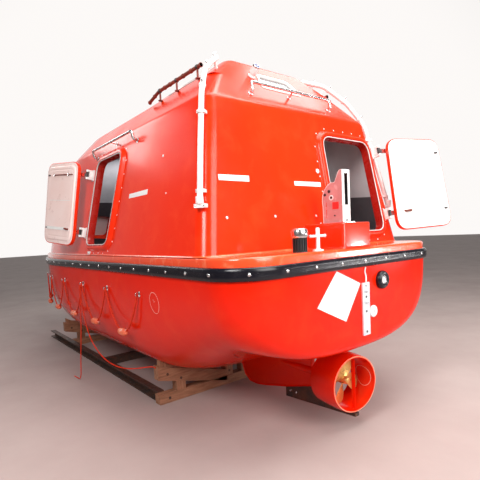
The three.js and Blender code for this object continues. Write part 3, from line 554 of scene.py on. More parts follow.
def piece(name: str, shape: list[Patch] | bpy.types.Mesh, finishes: list["Finish"], body: Body = Body.BOAT,
          replaces: tuple[str, ...] = (), crease: float = 38.0,
          weighted: bool = False) -> bpy.types.Object:
    """Makes a piece of the boat, gives it its finishes and has it ride on its body.

    Args:
        name: The piece's name.
        shape: Its patches, or a mesh that is ready.
        finishes: Its finishes in the order of their numbers.
        body: The body that it rides on.
        replaces: The frame's nodes that it stands for.
        crease: Edges sharper than this angle in degrees stay crisp.
        weighted: Whether large faces set the shading, as flat walls need.

    Returns:
        The object.
    """
    mesh = shape if isinstance(shape, bpy.types.Mesh) else mesh_of(name, shape)
    mesh.name = name
    mesh.shade_smooth()
    mesh.set_sharp_from_angle(angle=math.radians(crease))
    for finish in finishes:
        mesh.materials.append(finish.material())
    made = linked(name, mesh)
    if weighted:
        normals = made.modifiers.new("normals", "WEIGHTED_NORMAL")
        normals.keep_sharp = True
    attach(made, body.value)
    if replaces:
        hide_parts(*replaces)
    LOG.info("%s: %d faces on %s", name, len(mesh.polygons), body.value)
    return made


# Finishes


class Tree:
    """The nodes of one material, added one after another."""

    def __init__(self, name: str) -> None:
        """Starts a material whose shader is empty.

        Args:
            name: The material's name.
        """
        self.made = bpy.data.materials.new(name)
        self.made.use_nodes = True
        self.nodes = self.made.node_tree.nodes
        self.links = self.made.node_tree.links
        self.shader = self.nodes["Principled BSDF"]

    def add(self, kind: str, inputs: dict, **choices) -> bpy.types.Node:
        """Adds a node.

        Args:
            kind: The node's type.
            inputs: Values or linked sockets, by the name or number of the input.
            **choices: The node's own settings.

        Returns:
            The node.
        """
        node = self.nodes.new(kind)
        for key, value in choices.items():
            setattr(node, key, value)
        self.feed(node, inputs)
        return node

    def feed(self, node: bpy.types.Node, inputs: dict) -> None:
        """Sets or links a node's inputs.

        Args:
            node: The node.
            inputs: Values or linked sockets, by name or number.
        """
        for key, value in inputs.items():
            if isinstance(value, bpy.types.NodeSocket):
                self.links.new(value, node.inputs[key])
            else:
                node.inputs[key].default_value = value

    def place(self, stretch: Triple) -> bpy.types.NodeSocket:
        """Object coordinates, stretched along each axis."""
        source = self.add("ShaderNodeTexCoord", {}).outputs["Object"]
        return self.add("ShaderNodeMapping", {"Vector": source, "Scale": stretch}).outputs["Vector"]

    def noise(self, where: bpy.types.NodeSocket, scale: float, detail: float, low: float, high: float,
              warp: float = 0.0) -> bpy.types.NodeSocket:
        """Noise from 0 to 1, with its middle range between two levels spread out.

        Args:
            where: Coordinates.
            scale: Bumps per metre.
            detail: Octaves.
            low: Level that becomes 0.
            high: Level that becomes 1.
            warp: How much it is twisted.

        Returns:
            The level's socket.
        """
        inputs = {"Vector": where, "Scale": scale, "Detail": detail, "Roughness": 0.55, "Distortion": warp}
        level = self.add("ShaderNodeTexNoise", inputs).outputs["Fac"]
        spread = {"Value": level, "From Min": low, "From Max": high}
        return self.add("ShaderNodeMapRange", spread, clamp=True).outputs["Result"]

    def mix(self, share: bpy.types.NodeSocket, first: bpy.types.NodeSocket | Triple,
            second: bpy.types.NodeSocket | Triple) -> bpy.types.NodeSocket:
        """Blends two colours by a share.

        Args:
            share: The second colour's share.
            first: A colour or a socket.
            second: A colour or a socket.

        Returns:
            The colour's socket.
        """
        node = self.add("ShaderNodeMix", {"Factor": share}, data_type="RGBA")
        for number, colour in ((6, first), (7, second)):
            value = colour if isinstance(colour, bpy.types.NodeSocket) else (*colour, 1.0)
            self.feed(node, {number: value})
        return node.outputs[2]

    def between(self, share: bpy.types.NodeSocket, low: float, high: float) -> bpy.types.NodeSocket:
        """A number between two limits."""
        spread = {"Value": share, "To Min": low, "To Max": high}
        return self.add("ShaderNodeMapRange", spread).outputs["Result"]


MADE: dict[str, bpy.types.Material] = {}


@dataclass(frozen=True)
class Finish:
    """A surface finish: two tones in patches, marks over them, uneven gloss and a fine relief.

    Attributes:
        name: The material's name.
        colour: Main tone.
        shade: Second tone.
        patch: Patches per metre.
        rough: Lowest and highest roughness.
        relief: Height of the fine relief in metres.
        relief_scale: Bumps per metre.
        edge: Noise levels between which the tones blend.
        metallic: Metalness.
        coat: Clear coat.
        specular: Strength of the surface's own reflection.
        stretch: Scale of all patterns along each axis, for grain.
        marks: Tone of spots or dirt, spots per metre and the noise levels between which they fade in, if any.
        swell: Height of a slow unevenness in metres.
        glow: Sheen of cloth.
    """

    name: str
    colour: Triple
    shade: Triple
    patch: float = 2.0
    rough: Span = (0.3, 0.4)
    relief: float = 0.0002
    relief_scale: float = 300.0
    edge: Span = (0.35, 0.7)
    metallic: float = 0.0
    coat: float = 0.0
    specular: float = 0.5
    stretch: Triple = (1.0, 1.0, 1.0)
    marks: tuple[Triple, float, Span] | None = None
    swell: float = 0.0
    glow: float = 0.0

    def material(self) -> bpy.types.Material:
        """Builds the material once.

        Returns:
            The material.
        """
        if self.name in MADE:
            return MADE[self.name]
        tree = Tree(self.name)
        where = tree.place(self.stretch)
        tone = tree.mix(tree.noise(where, self.patch, 5, *self.edge), self.colour, self.shade)
        uneven = tree.noise(where, self.patch * 3.7, 4, 0.3, 0.7)
        if self.marks:
            mark, scale, levels = self.marks
            tone = tree.mix(tree.noise(where, scale, 6, *levels, warp=0.4), tone, mark)
        fine = tree.noise(where, self.relief_scale, 3, 0.2, 0.8)
        bump = tree.add("ShaderNodeBump", {"Height": fine, "Distance": self.relief, "Strength": 1.0})
        if self.swell:
            slow = tree.noise(where, 3.0, 1, 0.0, 1.0)
            wave = {"Height": slow, "Distance": self.swell, "Strength": 1.0, "Normal": bump.outputs[0]}
            bump = tree.add("ShaderNodeBump", wave)
        tree.feed(tree.shader, {
            "Base Color": tone, "Roughness": tree.between(uneven, *self.rough), "Metallic": self.metallic,
            "Coat Weight": self.coat, "Coat Roughness": 0.06, "Specular IOR Level": self.specular,
            "Normal": bump.outputs[0], "Sheen Weight": self.glow})
        MADE[self.name] = tree.made
        return tree.made


@dataclass(frozen=True)
class Pane:
    """Clear window glazing with a faint film of dust."""

    name: str = "window_pane"

    def material(self) -> bpy.types.Material:
        """Builds the material once.

        Returns:
            The material.
        """
        if self.name not in MADE:
            tree = Tree(self.name)
            dust = tree.noise(tree.place((1, 1, 1)), 9, 5, 0.4, 0.8)
            tree.feed(tree.shader, {
                "Base Color": (0.78, 0.82, 0.84, 1), "Roughness": tree.between(dust, 0.03, 0.2),
                "Transmission Weight": 0.82, "IOR": 1.45})
            MADE[self.name] = tree.made
        return MADE[self.name]


GELCOAT = Finish(
    "orange_gelcoat", (0.84, 0.030, 0.003), (0.78, 0.021, 0.002), 0.8, (0.16, 0.26), 0.00003, 900,
    coat=0.10, specular=0.25, swell=0.0007, marks=((0.86, 0.050, 0.010), 5, (0.5, 0.9)))
HULL_GELCOAT = Finish(
    "hull_red_gelcoat", (0.81, 0.016, 0.0012), (0.75, 0.011, 0.001), 0.8, (0.14, 0.24), 0.00003, 900,
    coat=0.06, specular=0.18, swell=0.0007, marks=((0.83, 0.030, 0.005), 5, (0.5, 0.9)))
# Dark red for the inside of the doorways: painted shade of the jambs.
SHADED_JAMB_GELCOAT = Finish(
    "painted_shade_red_jamb", (0.42, 0.012, 0.006), (0.32, 0.009, 0.005), 3, (0.2, 0.35), 0.00008, 500, coat=0.1,
    specular=0.3)
# Paler orange with pale spots for the deck's top: partly painted sheen of the light on it, partly dust.
DECK_SHEEN_COAT = Finish(
    "deck_gelcoat_dust_and_sheen", (0.88, 0.095, 0.026), (0.84, 0.060, 0.014), 1.6, (0.14, 0.28), 0.0001, 260, coat=0.5,
    specular=0.5, marks=((0.89, 0.24, 0.11), 12, (0.56, 0.82)))
GLOSS_GELCOAT = Finish(
    "polished_gelcoat", (0.84, 0.030, 0.003), (0.78, 0.021, 0.002), 0.8, (0.12, 0.22), 0.00003, 900,
    coat=0.6, specular=0.5)
# Pale orange for the nozzle's aft rim: a painted highlight of its edge.
HIGHLIGHT_EDGE = Finish(
    "painted_highlight_orange_edge", (0.88, 0.34, 0.22), (0.86, 0.20, 0.10), 9, (0.3, 0.45), 0.0001, 300)
LINER = Finish("cabin_liner", (0.60, 0.57, 0.58), (0.50, 0.47, 0.48), 3, (0.45, 0.6), 0.0006, 120)
# Dark for the lower inside of the cabin and the hull: painted shade.
SHADED_LOWER_LINER = Finish("painted_shade_lower_liner", (0.075, 0.060, 0.066), (0.050, 0.040, 0.045), 3, (0.5, 0.7), 0.0006, 120)
DOOR_LINER = Finish(
    "door_liner", (0.91, 0.74, 0.71), (0.86, 0.64, 0.60), 2.5, (0.25, 0.4), 0.0002, 160, coat=0.1,
    specular=0.4, marks=((0.66, 0.42, 0.36), 22, (0.66, 0.8)))
PALE_LINER = Finish(
    "stern_door_liner", (0.88, 0.84, 0.83), (0.82, 0.76, 0.75), 2.5, (0.25, 0.4), 0.0002, 160, coat=0.1,
    specular=0.4, marks=((0.70, 0.62, 0.60), 22, (0.68, 0.82)))
RUBBER = Finish(
    "fender_rubber", (0.004, 0.004, 0.008), (0.010, 0.009, 0.014), 6, (0.14, 0.30), 0.0002, 500,
    specular=0.4, marks=((0.06, 0.056, 0.06), 30, (0.68, 0.84)))
SEAL = Finish("pale_seal", (0.72, 0.68, 0.66), (0.58, 0.54, 0.53), 10, (0.4, 0.55), 0.0001, 400)
STEEL = Finish(
    "polished_steel", (0.70, 0.70, 0.71), (0.55, 0.55, 0.56), 9, (0.14, 0.3), 0.00003, 900, metallic=1.0)
WHITE_PIPE = Finish(
    "white_pipe_paint", (0.86, 0.84, 0.83), (0.74, 0.71, 0.70), 7, (0.2, 0.34), 0.0001, 300, coat=0.3,
    marks=((0.45, 0.30, 0.24), 35, (0.7, 0.8)))
RED_PIPE = Finish(
    "rusty_red_pipe", (0.26, 0.035, 0.025), (0.15, 0.035, 0.022), 14, (0.4, 0.7), 0.0005, 220, metallic=0.3,
    marks=((0.32, 0.12, 0.05), 60, (0.55, 0.68)))
BRASS = Finish(
    "cast_brass", (0.82, 0.52, 0.18), (0.62, 0.34, 0.10), 9, (0.25, 0.45), 0.0003, 180, metallic=0.7,
    marks=((0.25, 0.12, 0.05), 25, (0.62, 0.8)))
DARK_STEEL = Finish(
    "weathered_steel", (0.055, 0.040, 0.036), (0.13, 0.055, 0.035), 8, (0.45, 0.75), 0.0006, 150,
    metallic=0.5, marks=((0.20, 0.08, 0.04), 30, (0.58, 0.75)))
WHITE = Finish("matt_white", (0.84, 0.84, 0.83), (0.76, 0.76, 0.76), 6, (0.4, 0.55), 0.0001, 250)
CHALK = Finish("chalk_line", (0.86, 0.55, 0.48), (0.80, 0.30, 0.22), 60, (0.8, 0.9))
BLACK = Finish("black_plastic", (0.015, 0.015, 0.017), (0.03, 0.03, 0.032), 12, (0.3, 0.45))
BLUE = Finish("blue_plastic", (0.04, 0.09, 0.36), (0.03, 0.07, 0.28), 12, (0.25, 0.35))
ROPE = Finish(
    "orange_rope", (0.70, 0.040, 0.012), (0.54, 0.026, 0.008), 30, (0.75, 0.9), 0.0006, 900, specular=0.15)
FILM = Finish(
    "film_covered_plate", (0.50, 0.27, 0.27), (0.42, 0.20, 0.20), 8, (0.3, 0.45), 0.0002, 140, coat=0.2,
    marks=((0.66, 0.50, 0.50), 18, (0.6, 0.8)))
GALVANISED = Finish(
    "galvanised_strip", (0.74, 0.77, 0.80), (0.62, 0.64, 0.70), 14, (0.3, 0.45), 0.0001, 300, metallic=0.35)
FLOAT = Finish(
    "float_foam", (0.80, 0.20, 0.10), (0.72, 0.10, 0.04), 14, (0.55, 0.7), 0.0006, 240,
    marks=((0.82, 0.62, 0.55), 30, (0.55, 0.7)))
RED_LABEL = Finish("red_label", (0.70, 0.03, 0.03), (0.60, 0.025, 0.025), 20, (0.3, 0.4))
PAD = Finish("seat_vinyl", (0.46, 0.42, 0.43), (0.37, 0.33, 0.35), 6, (0.5, 0.65), 0.0005, 420, glow=0.2)


def timber(name: str, stretch: Triple) -> Finish:
    """Rough sawn pine whose grain runs along the axis that is stretched least."""
    return Finish(name, (0.38, 0.175, 0.095), (0.19, 0.075, 0.038), 9, (0.65, 0.85), 0.0012, 60,
                  edge=(0.3, 0.72), stretch=stretch, marks=((0.12, 0.05, 0.025), 4, (0.66, 0.8)))


TIMBER_ACROSS = timber("timber_across", (6.0, 0.6, 6.0))
TIMBER_UPRIGHT = timber("timber_upright", (6.0, 6.0, 0.6))


# The boat's own forms, worked out as the frame's solids are


@dataclass
class HullForm:
    """The hull's outer form.

    A section at x is y = half * sin(a)^(2/bp), z = sheer - (sheer - keel) * cos(a)^(2/dp), for a from 0 to a
    quarter turn. The powers bp and dp make it round amidships and a V at the bow.
    """

    transom: float = -3.5
    stem: float = 3.5
    half_beam: float = 1.27
    corner: float = 0.35
    bottom_radius: float = 0.08
    parallel_end: float = 0.3
    sheer: float = 1.475
    keel: float = 0.25
    transom_keel: float = 0.695
    run_aft: float = -3.3
    run_fore: float = -1.65
    fore_foot: float = 1.5
    stem_head: float = 1.435
    least_half: float = 0.025

    def half(self, x: Array) -> Array:
        """Half-breadth at the sheer: a quarter circle at the transom, then level, then closing to the stem.

        Args:
            x: Where along the boat.

        Returns:
            The half-breadths.
        """
        near = np.clip(self.corner - (x - self.transom), 0, self.corner)
        aft = self.half_beam - self.corner + np.sqrt(self.corner**2 - near**2)
        fore = np.maximum(self.half_beam * (1 - self.share(x) ** 2.2) ** 0.74, self.least_half)
        return np.where(x < self.parallel_end, aft, fore)

    def bottom(self, x: Array) -> Array:
        """Height of the keel line: a cosine fall from the transom, level, then a rise to the stem.

        Args:
            x: Where along the boat.

        Returns:
            The heights.
        """
        r = self.bottom_radius
        near = np.clip(r - (x - self.transom), 0, r)
        t = np.clip((x - self.run_aft) / (self.run_fore - self.run_aft), 0, 1)
        aft = self.keel + (self.transom_keel - self.keel) * (0.5 + 0.5 * np.cos(math.pi * t))
        rise = np.clip((x - self.fore_foot) / (self.stem - self.fore_foot), 0, 1) ** 3.2
        return aft + (r - np.sqrt(r**2 - near**2)) + (self.stem_head - self.keel) * rise

    def share(self, x: Array) -> Array:
        """How far x is from the parallel body to the stem."""
        return np.clip((x - self.parallel_end) / (self.stem - self.parallel_end), 0, 1)

    def powers(self, x: Array) -> tuple[Array, Array]:
        """The section's powers of breadth and depth."""
        return 2.8 - 1.3 * self.share(x), 3.5 - 1.3 * self.share(x)

    def side(self, x: Array, z: Array) -> Array:
        """Half-breadth of the side at a height.

        Args:
            x: Where along the boat.
            z: Height.

        Returns:
            The half-breadths.
        """
        x = np.asarray(x, float)
        breadth, depth = self.powers(x)
        down = np.clip((self.sheer - z) / (self.sheer - self.bottom(x)), 0, 1)
        return self.half(x) * (1 - down**depth) ** (1 / breadth)

    def stations(self, corner: int = 16, run: int = 60, bow: int = 64) -> Array:
        """Places along the boat: close together at the transom's corner and at the stem.

        Args:
            corner: Places round the transom's corner.
            run: Places along the body.
            bow: Places to the stem.

        Returns:
            The places.
        """
        a = self.transom + self.corner * (1 - np.cos(np.linspace(0, QUARTER, corner)))
        b = np.linspace(self.transom + self.corner, self.parallel_end, run)[1:]
        c = self.parallel_end + (self.stem - self.parallel_end) * np.sin(np.linspace(0, QUARTER, bow))[1:]
        return np.concatenate([a, b, c])

    def sections(self, x: Array, half: Array, bottom: Array, around: int) -> Array:
        """Open sections from the starboard sheer under the keel to the port sheer.

        Args:
            x: Where along the boat.
            half: Half-breadth at each.
            bottom: Keel's height at each.
            around: Points of half a section.

        Returns:
            One row of points for each section.
        """
        a = np.linspace(0, QUARTER, around)[None]
        breadth, depth = self.powers(x[:, None])
        y = half[:, None] * np.sin(a) ** (2 / breadth)
        z = self.sheer - (self.sheer - bottom[:, None]) * np.cos(a) ** (2 / depth)
        port = np.stack([np.broadcast_to(x[:, None], y.shape), y, z], -1)
        starboard = port[:, :0:-1] * [1, -1, 1]
        return np.concatenate([starboard, port], 1)

    def plan(self, by: float, count: int = 420) -> Array:
        """The closed outline at the sheer, moved outwards, anticlockwise from the transom's starboard corner.

        Args:
            by: Distance outwards.
            count: How many points it has.

        Returns:
            The outline's points.
        """
        x = self.stations(24, 90, 110)
        port = np.stack([x, self.half(x)], -1)
        return grown(even_ring(np.vstack([port * [1, -1], port[::-1]]), count), by)


def even_ring(ring: Array, count: int) -> Array:
    """Spaces a closed outline's points evenly, from the first one on.

    Args:
        ring: Closed outline.
        count: How many points it gets.

    Returns:
        The outline's points.
    """
    closed = np.vstack([ring, ring[:1]])
    run = run_of(closed)
    at = np.linspace(0, run[-1], count + 1)[:-1]
    return np.stack([np.interp(at, run, closed[:, k]) for k in (0, 1)], -1)


def rolled(radius: float, high: float, steps: int) -> list[tuple[float, float]]:
    """Insets and heights of an edge rolled off by a quarter circle, from its side up to its face."""
    return [(radius * (1 - math.cos(t)), high - radius + radius * math.sin(t))
            for t in np.linspace(0, QUARTER, steps)]


def from_stern(ring: Array) -> Array:
    """Starts a closed outline at its point nearest to the middle of the stern."""
    middle = np.abs(ring[:, 1]) + np.where(ring[:, 0] > 0, 9.0, 0.0)
    return np.roll(ring, -int(np.argmin(middle)), 0)


@dataclass
class CanopyForm:
    """The canopy's outline at each height: straight aft and side walls that lean in, and a round nose."""

    deck_top: float = 1.54
    base: float = 1.57
    aft_x: float = -3.1
    half_width: float = 1.25
    rake: float = 0.175
    lean: float = 0.1917
    crease: float = 2.77
    roof: float = 3.04
    crown: float = 0.045
    crown_run: float = 0.26
    rake_upper: float = 0.42 / 0.51
    roof_half: float = 0.78
    nose_start: float = -0.2
    nose_base: float = 2.85
    nose_top: float = 0.9
    corner: float = 0.12
    wall: float = 0.055
    softness: float = 0.007
    liner_foot: float = 2.05
    liner_rise: float = 0.067
    dome_top: float = 3.28
    dome_half: float = 0.45
    screen_foot: float = -1.45
    screen_top: float = -1.65
    dome_wall: float = 0.045

    def above(self, z: Array) -> Array:
        """Height over the crease, rounded off where it starts, so that the crease is soft."""
        return self.softness * np.logaddexp(0, (z - self.crease) / self.softness)

    def aft(self, z: Array) -> Array:
        """Where the aft face is at a height."""
        upper = self.above(z)
        return self.aft_x + self.rake * (z - self.base - upper) + self.rake_upper * upper

    def half(self, z: Array) -> Array:
        """Half-width at a height.

        Args:
            z: The height.

        Returns:
            The half-width.
        """
        upper = self.above(z)
        lost = self.lean * (self.crease - self.base)
        shoulder = (self.half_width - lost - self.roof_half) / (self.roof - self.crease)
        return self.half_width - self.lean * (z - self.base - upper) - shoulder * upper

    def fore(self, z: Array) -> Array:
        """Where the nose ends at a height."""
        rise = np.clip((z - self.deck_top) / (self.roof - self.deck_top), 0, 1.2)
        return self.nose_base - (self.nose_base - self.nose_top) * rise**1.7

    def outline(self, z: float, inset: float = 0.0) -> Array:
        """The closed outline at a height, anticlockwise, moved inwards.

        Args:
            z: The height.
            inset: Distance inwards.

        Returns:
            The outline's points, the same number at every height.
        """
        x0, y1 = self.aft(z) + inset, self.half(z) - inset
        x1 = self.fore(z) - inset
        r = max(self.corner - inset, 0.03)
        a = np.linspace(0, QUARTER, 11)
        corner = np.stack([x0 + r - r * np.cos(a), y1 - r + r * np.sin(a)], -1)
        straight = np.stack([np.linspace(x0 + r, self.nose_start, 30)[1:-1], np.full(28, y1)], -1)
        s = np.sin(np.linspace(0, QUARTER, 49))
        nose = np.stack([self.nose_start + (x1 - self.nose_start) * s,
                         y1 * np.sqrt(np.maximum(1 - s**2.6, 0))], -1)
        port = np.vstack([corner, straight, nose])
        transom = np.stack([np.full(13, x0), np.linspace(y1 - r, -(y1 - r), 15)[1:-1]], -1)
        return np.vstack([port[:-1] * [1, -1], port[::-1], transom])

    def solid(self) -> list[Patch]:
        """The outer form, closed below and crowned above.

        Returns:
            The patches.
        """
        near = self.crease + np.array([-0.04, -0.02, -0.01, -0.004, 0, 0.004, 0.01, 0.02, 0.04])
        heights = np.concatenate([np.linspace(self.deck_top, 2.7, 16), near, [2.86, 2.95, self.roof]])
        rings = [lifted(self.outline(z), z) for z in heights]
        for share in (0.12, 0.3, 0.55, 0.8, 1.0):
            rise = self.crown * math.sin(share * QUARTER)
            rings.append(lifted(self.outline(self.roof, share * self.crown_run), self.roof + rise))
        return loft(np.stack(rings))

    def hollow(self) -> list[Patch]:
        """The space inside the walls, finished as the pale liner above and, under its foot, a dark finish
        that is painted shade.

        Returns:
            The patches.
        """
        under, over = 1.95, 2.45
        low, high = (
            [lifted(self.outline(max(z, self.deck_top), self.wall), z) for z in heights]
            for heights in ((self.deck_top - 0.1, *np.linspace(self.deck_top, under, 4)),
                            (over, 2.7, self.crease, 2.9, self.roof - self.wall)))
        # Under the foot the walls take the dark finish, which is painted shade.
        rise = self.liner_foot + self.liner_rise * (low[-1][:, :1] + 2.5) - under
        foot = low[-1] + (high[0] - low[-1]) * rise / (over - under)
        return [grid(np.stack([*low, foot]), round_v=True, finish=2),
                grid(np.stack([foot, *high]), round_v=True, finish=1), lid(low[0], 2), lid(high[-1], 1)]

    def dome(self, inset: float, low: float, high: float, edge: float = 0.0, finish: int = 0) -> list[Patch]:
        """The helm's dome between two heights, its upper edge rounded.

        Args:
            inset: Thickness taken off all round.
            low: Height of its foot.
            high: Height of its top.
            edge: Radius of the upper edge.
            finish: Number of the finish.

        Returns:
            The closed form.
        """
        rings = []
        rows = [(0.0, z) for z in np.linspace(low, high - edge, 6)]
        if edge:
            rows += rolled(edge, high, 6)[1:]
        for pulled, z in rows:
            rise = (z - self.roof) / (self.dome_top - self.roof)
            x0 = self.aft(z) + inset + pulled
            x1 = self.screen_foot + (self.screen_top - self.screen_foot) * rise - inset - pulled
            width = self.roof_half + (self.dome_half - self.roof_half) * rise - inset * 1.3 - pulled
            rings.append(lifted(rounded(rectangle(x1 - x0, 2 * width, (x0 + x1) / 2), 0.08, 10), z))
        return loft(np.stack(rings), finish)


HULL = HullForm()
CANOPY = CanopyForm()
AFT_WALL = basis([CANOPY.aft_x, 0, CANOPY.base], [-1, 0, CANOPY.rake])
UPPER_AFT_WALL = basis([-2.89, 0, CANOPY.crease], [-1, 0, CANOPY.rake_upper])
TRANSOM = basis([HULL.transom, 0, 0], [-1, 0, 0])
FORE_WALL = basis([2.6, 0, 2.01], [0.8, 0, 0.6])
TOP_WALL = basis([-2.06, 0, CANOPY.dome_top], [0, 0, 1], np.array([1.0, 0, 0]))


def side_wall(side: int) -> Array:
    """The frame of a side wall: 1 is port and -1 starboard."""
    return basis([0, side * CANOPY.half_width, CANOPY.base], [0, side, CANOPY.lean])


def forward(side: int, x: float) -> float:
    """A distance forward as a distance across a side wall."""
    return -side * x


def side_corners(side: int) -> Array:
    """The corners of a side doorway in its wall's frame, anticlockwise.

    Args:
        side: 1 for port, -1 for starboard.

    Returns:
        The four corners.
    """
    corners = np.array([[-0.68, 0.082], [-1.31, 0.082], [-1.46, 1.03], [-0.78, 1.03]])
    placed_corners = np.stack([forward(side, corners[:, 0]), corners[:, 1]], -1)
    return placed_corners if side > 0 else placed_corners[::-1]


STERN_CORNERS = np.array([[0.225, 0.092], [0.975, 0.092], [0.925, 1.003], [0.225, 1.003]])
FORE_CORNERS = rectangle(0.56, 0.56)
TOP_CORNERS = rectangle(0.52, 0.52)
DOOR_RADIUS = 0.11


@dataclass
class Window:
    """A window of the helm's dome: its wall, its middle, and its width at the foot and at the head."""

    name: str
    wall: Array
    across: float
    up: float
    foot: float
    head: float
    height: float

    def outline(self) -> Array:
        """The opening's rounded outline in its wall's frame."""
        x, y, a, b, h = self.across, self.up, self.foot / 2, self.head / 2, self.height / 2
        return rounded([[x - a, y - h], [x + a, y - h], [x + b, y + h], [x - b, y + h]], 0.045)


def dome_side(side: int) -> Array:
    """The frame of a side of the dome."""
    return basis([-2.06, side * CANOPY.roof_half, CANOPY.roof],
                 [0, side * (CANOPY.dome_top - CANOPY.roof), CANOPY.roof_half - CANOPY.dome_half])


SCREEN = basis([CANOPY.screen_foot, 0, CANOPY.roof],
               [CANOPY.dome_top - CANOPY.roof, 0, CANOPY.screen_foot - CANOPY.screen_top])
WINDOWS = [
    Window("window_aft", UPPER_AFT_WALL, -0.02, 0.382, 0.5, 0.38, 0.205),
    *(Window(f"window_fore_{label}", SCREEN, side * 0.215, 0.15, 0.36, 0.3, 0.17)
      for label, side in SIDES.items()),
    *(Window(f"window_side_{label}", dome_side(side), 0, 0.205, 0.56, 0.48, 0.2)
      for label, side in SIDES.items()),
]


def dome_bolt(radius: float, height: float, finish: int = 0) -> list[Patch]:
    """A low round bolt head that stands on a face at the origin.

    Args:
        radius: Its radius.
        height: Its height.
        finish: Number of the finish.

    Returns:
        The closed form.
    """
    a = np.linspace(0, QUARTER, 4)
    profile = np.stack([radius * np.cos(a), height * np.sin(a)], -1)
    profile[-1, 0] = radius * 0.12
    return revolved(np.vstack([[radius, -0.002], profile]), 12, finish)


def bolts(radius: float, height: float, spots: list, finish: int = 0) -> list[Patch]:
    """Bolt heads at several places of one frame."""
    return copies(dome_bolt(radius, height, finish), [shift(*spot) for spot in spots])


def block(width: float, height: float, x: float, y: float, radius: float, low: float, high: float,
          bevel: float = 0.0, finish: int = 0) -> list[Patch]:
    """A slab of a rectangle round a point, with rounded corners."""
    return slab(rounded(rectangle(width, height, x, y), radius), low, high, bevel, finish)


# Sub-assemblies


@dataclass
class Hull:
    """The hull's shell with its liner, its fender and its deck."""

    wall: float = 0.07
    sole: float = 0.58
    inner_bow: float = 3.15
    around: int = 34
    fender_low: float = 1.38
    fender_out: float = 0.030
    deck_edge: float = 0.02
    last_bolt: float = 3.4
    bolt_places: int = 58

    def shell(self) -> None:
        """Outer form, liner and the rim between them; the transom and the stem are closed."""
        x = HULL.stations()
        outer = HULL.sections(x, HULL.half(x), HULL.bottom(x), self.around)
        share = (x - HULL.transom) / (HULL.stem - HULL.transom)
        inside = HULL.transom + self.wall + share * (self.inner_bow - HULL.transom - self.wall)
        floor = np.maximum(HULL.bottom(inside) + self.wall, self.sole)
        inner = HULL.sections(inside, HULL.half(inside) - self.wall, floor, self.around)
        patches = [grid(outer), grid(inner, finish=1)]
        for n in (0, -1):
            patches += [lid(outer[n], 0, 8), lid(inner[n], 1)]
        for k in (0, -1):
            patches.append(grid(np.stack([outer[:, k], inner[:, k]]), finish=0))
        for n in (0, -1):
            corners = np.stack([outer[n][[0, -1]], inner[n][[0, -1]]])
            patches.append(grid(corners))
        # The hull's inside takes the dark finish, which is painted shade.
        piece("hull_shell", patches, [HULL_GELCOAT, SHADED_LOWER_LINER], replaces=("hull",),
              crease=60)

    def fender(self) -> None:
        """A rubber D section carried round the sheer, a groove along its face, with bolts every 0.3 m."""
        low, high, out = self.fender_low, HULL.sheer, self.fender_out
        a = np.linspace(-QUARTER, QUARTER, 11)
        middle, half = (low + high) / 2, (high - low) / 2
        bulge = np.stack([out * np.cos(a) ** 0.45, middle + half * np.sin(a)], -1)
        bulge[5, 0] -= 0.004
        profile = np.vstack([[0.0006, low], bulge, [0.0006, high]])
        piece("fender_band", [moulding(HULL.plan(0), profile)], [RUBBER], replaces=("fender",),
              crease=50)
        ring = even_ring(HULL.plan(out * 0.97, 600), self.bolt_places)
        frames = [basis([*spot, middle + 0.001], [*way, 0])
                  for spot, way in zip(ring, grown(ring, 0.01) - ring) if spot[0] < self.last_bolt]
        heads = copies(dome_bolt(0.013, 0.007), frames)
        piece("fender_bolts", heads, [STEEL])

    def deck(self) -> None:
        """A closed band from the sheer to the canopy: rounded outer edge, flat top, cove at the canopy."""
        count = 420
        outer = from_stern(HULL.plan(-0.004, count))
        inner = even_ring(from_stern(CANOPY.outline(CANOPY.deck_top)), count)
        low, high = HULL.sheer, CANOPY.deck_top
        rows = [lifted(outer, low)]
        rows += [lifted(grown(outer, -inset), height) for inset, height in rolled(self.deck_edge, high, 5)]
        rows += [lifted(outer + (inner - outer) * s, high) for s in (0.35, 0.7)]
        cove = [(0.012, 0), (0.004, 0.004), (0.0008, 0.013), (-CANOPY.wall * 0.9, 0.001),
                (-CANOPY.wall, low - high)]
        rows += [lifted(grown(inner, out), high + rise) for out, rise in cove]
        # The deck's paler tone and spots are partly painted sheen.
        piece("deck_band", [grid(np.stack(rows), round_u=True, round_v=True)], [DECK_SHEEN_COAT],
              replaces=("deck",), crease=50)

    def build(self) -> None:
        """Builds the hull's pieces in order."""
        self.shell()
        self.fender()
        self.deck()


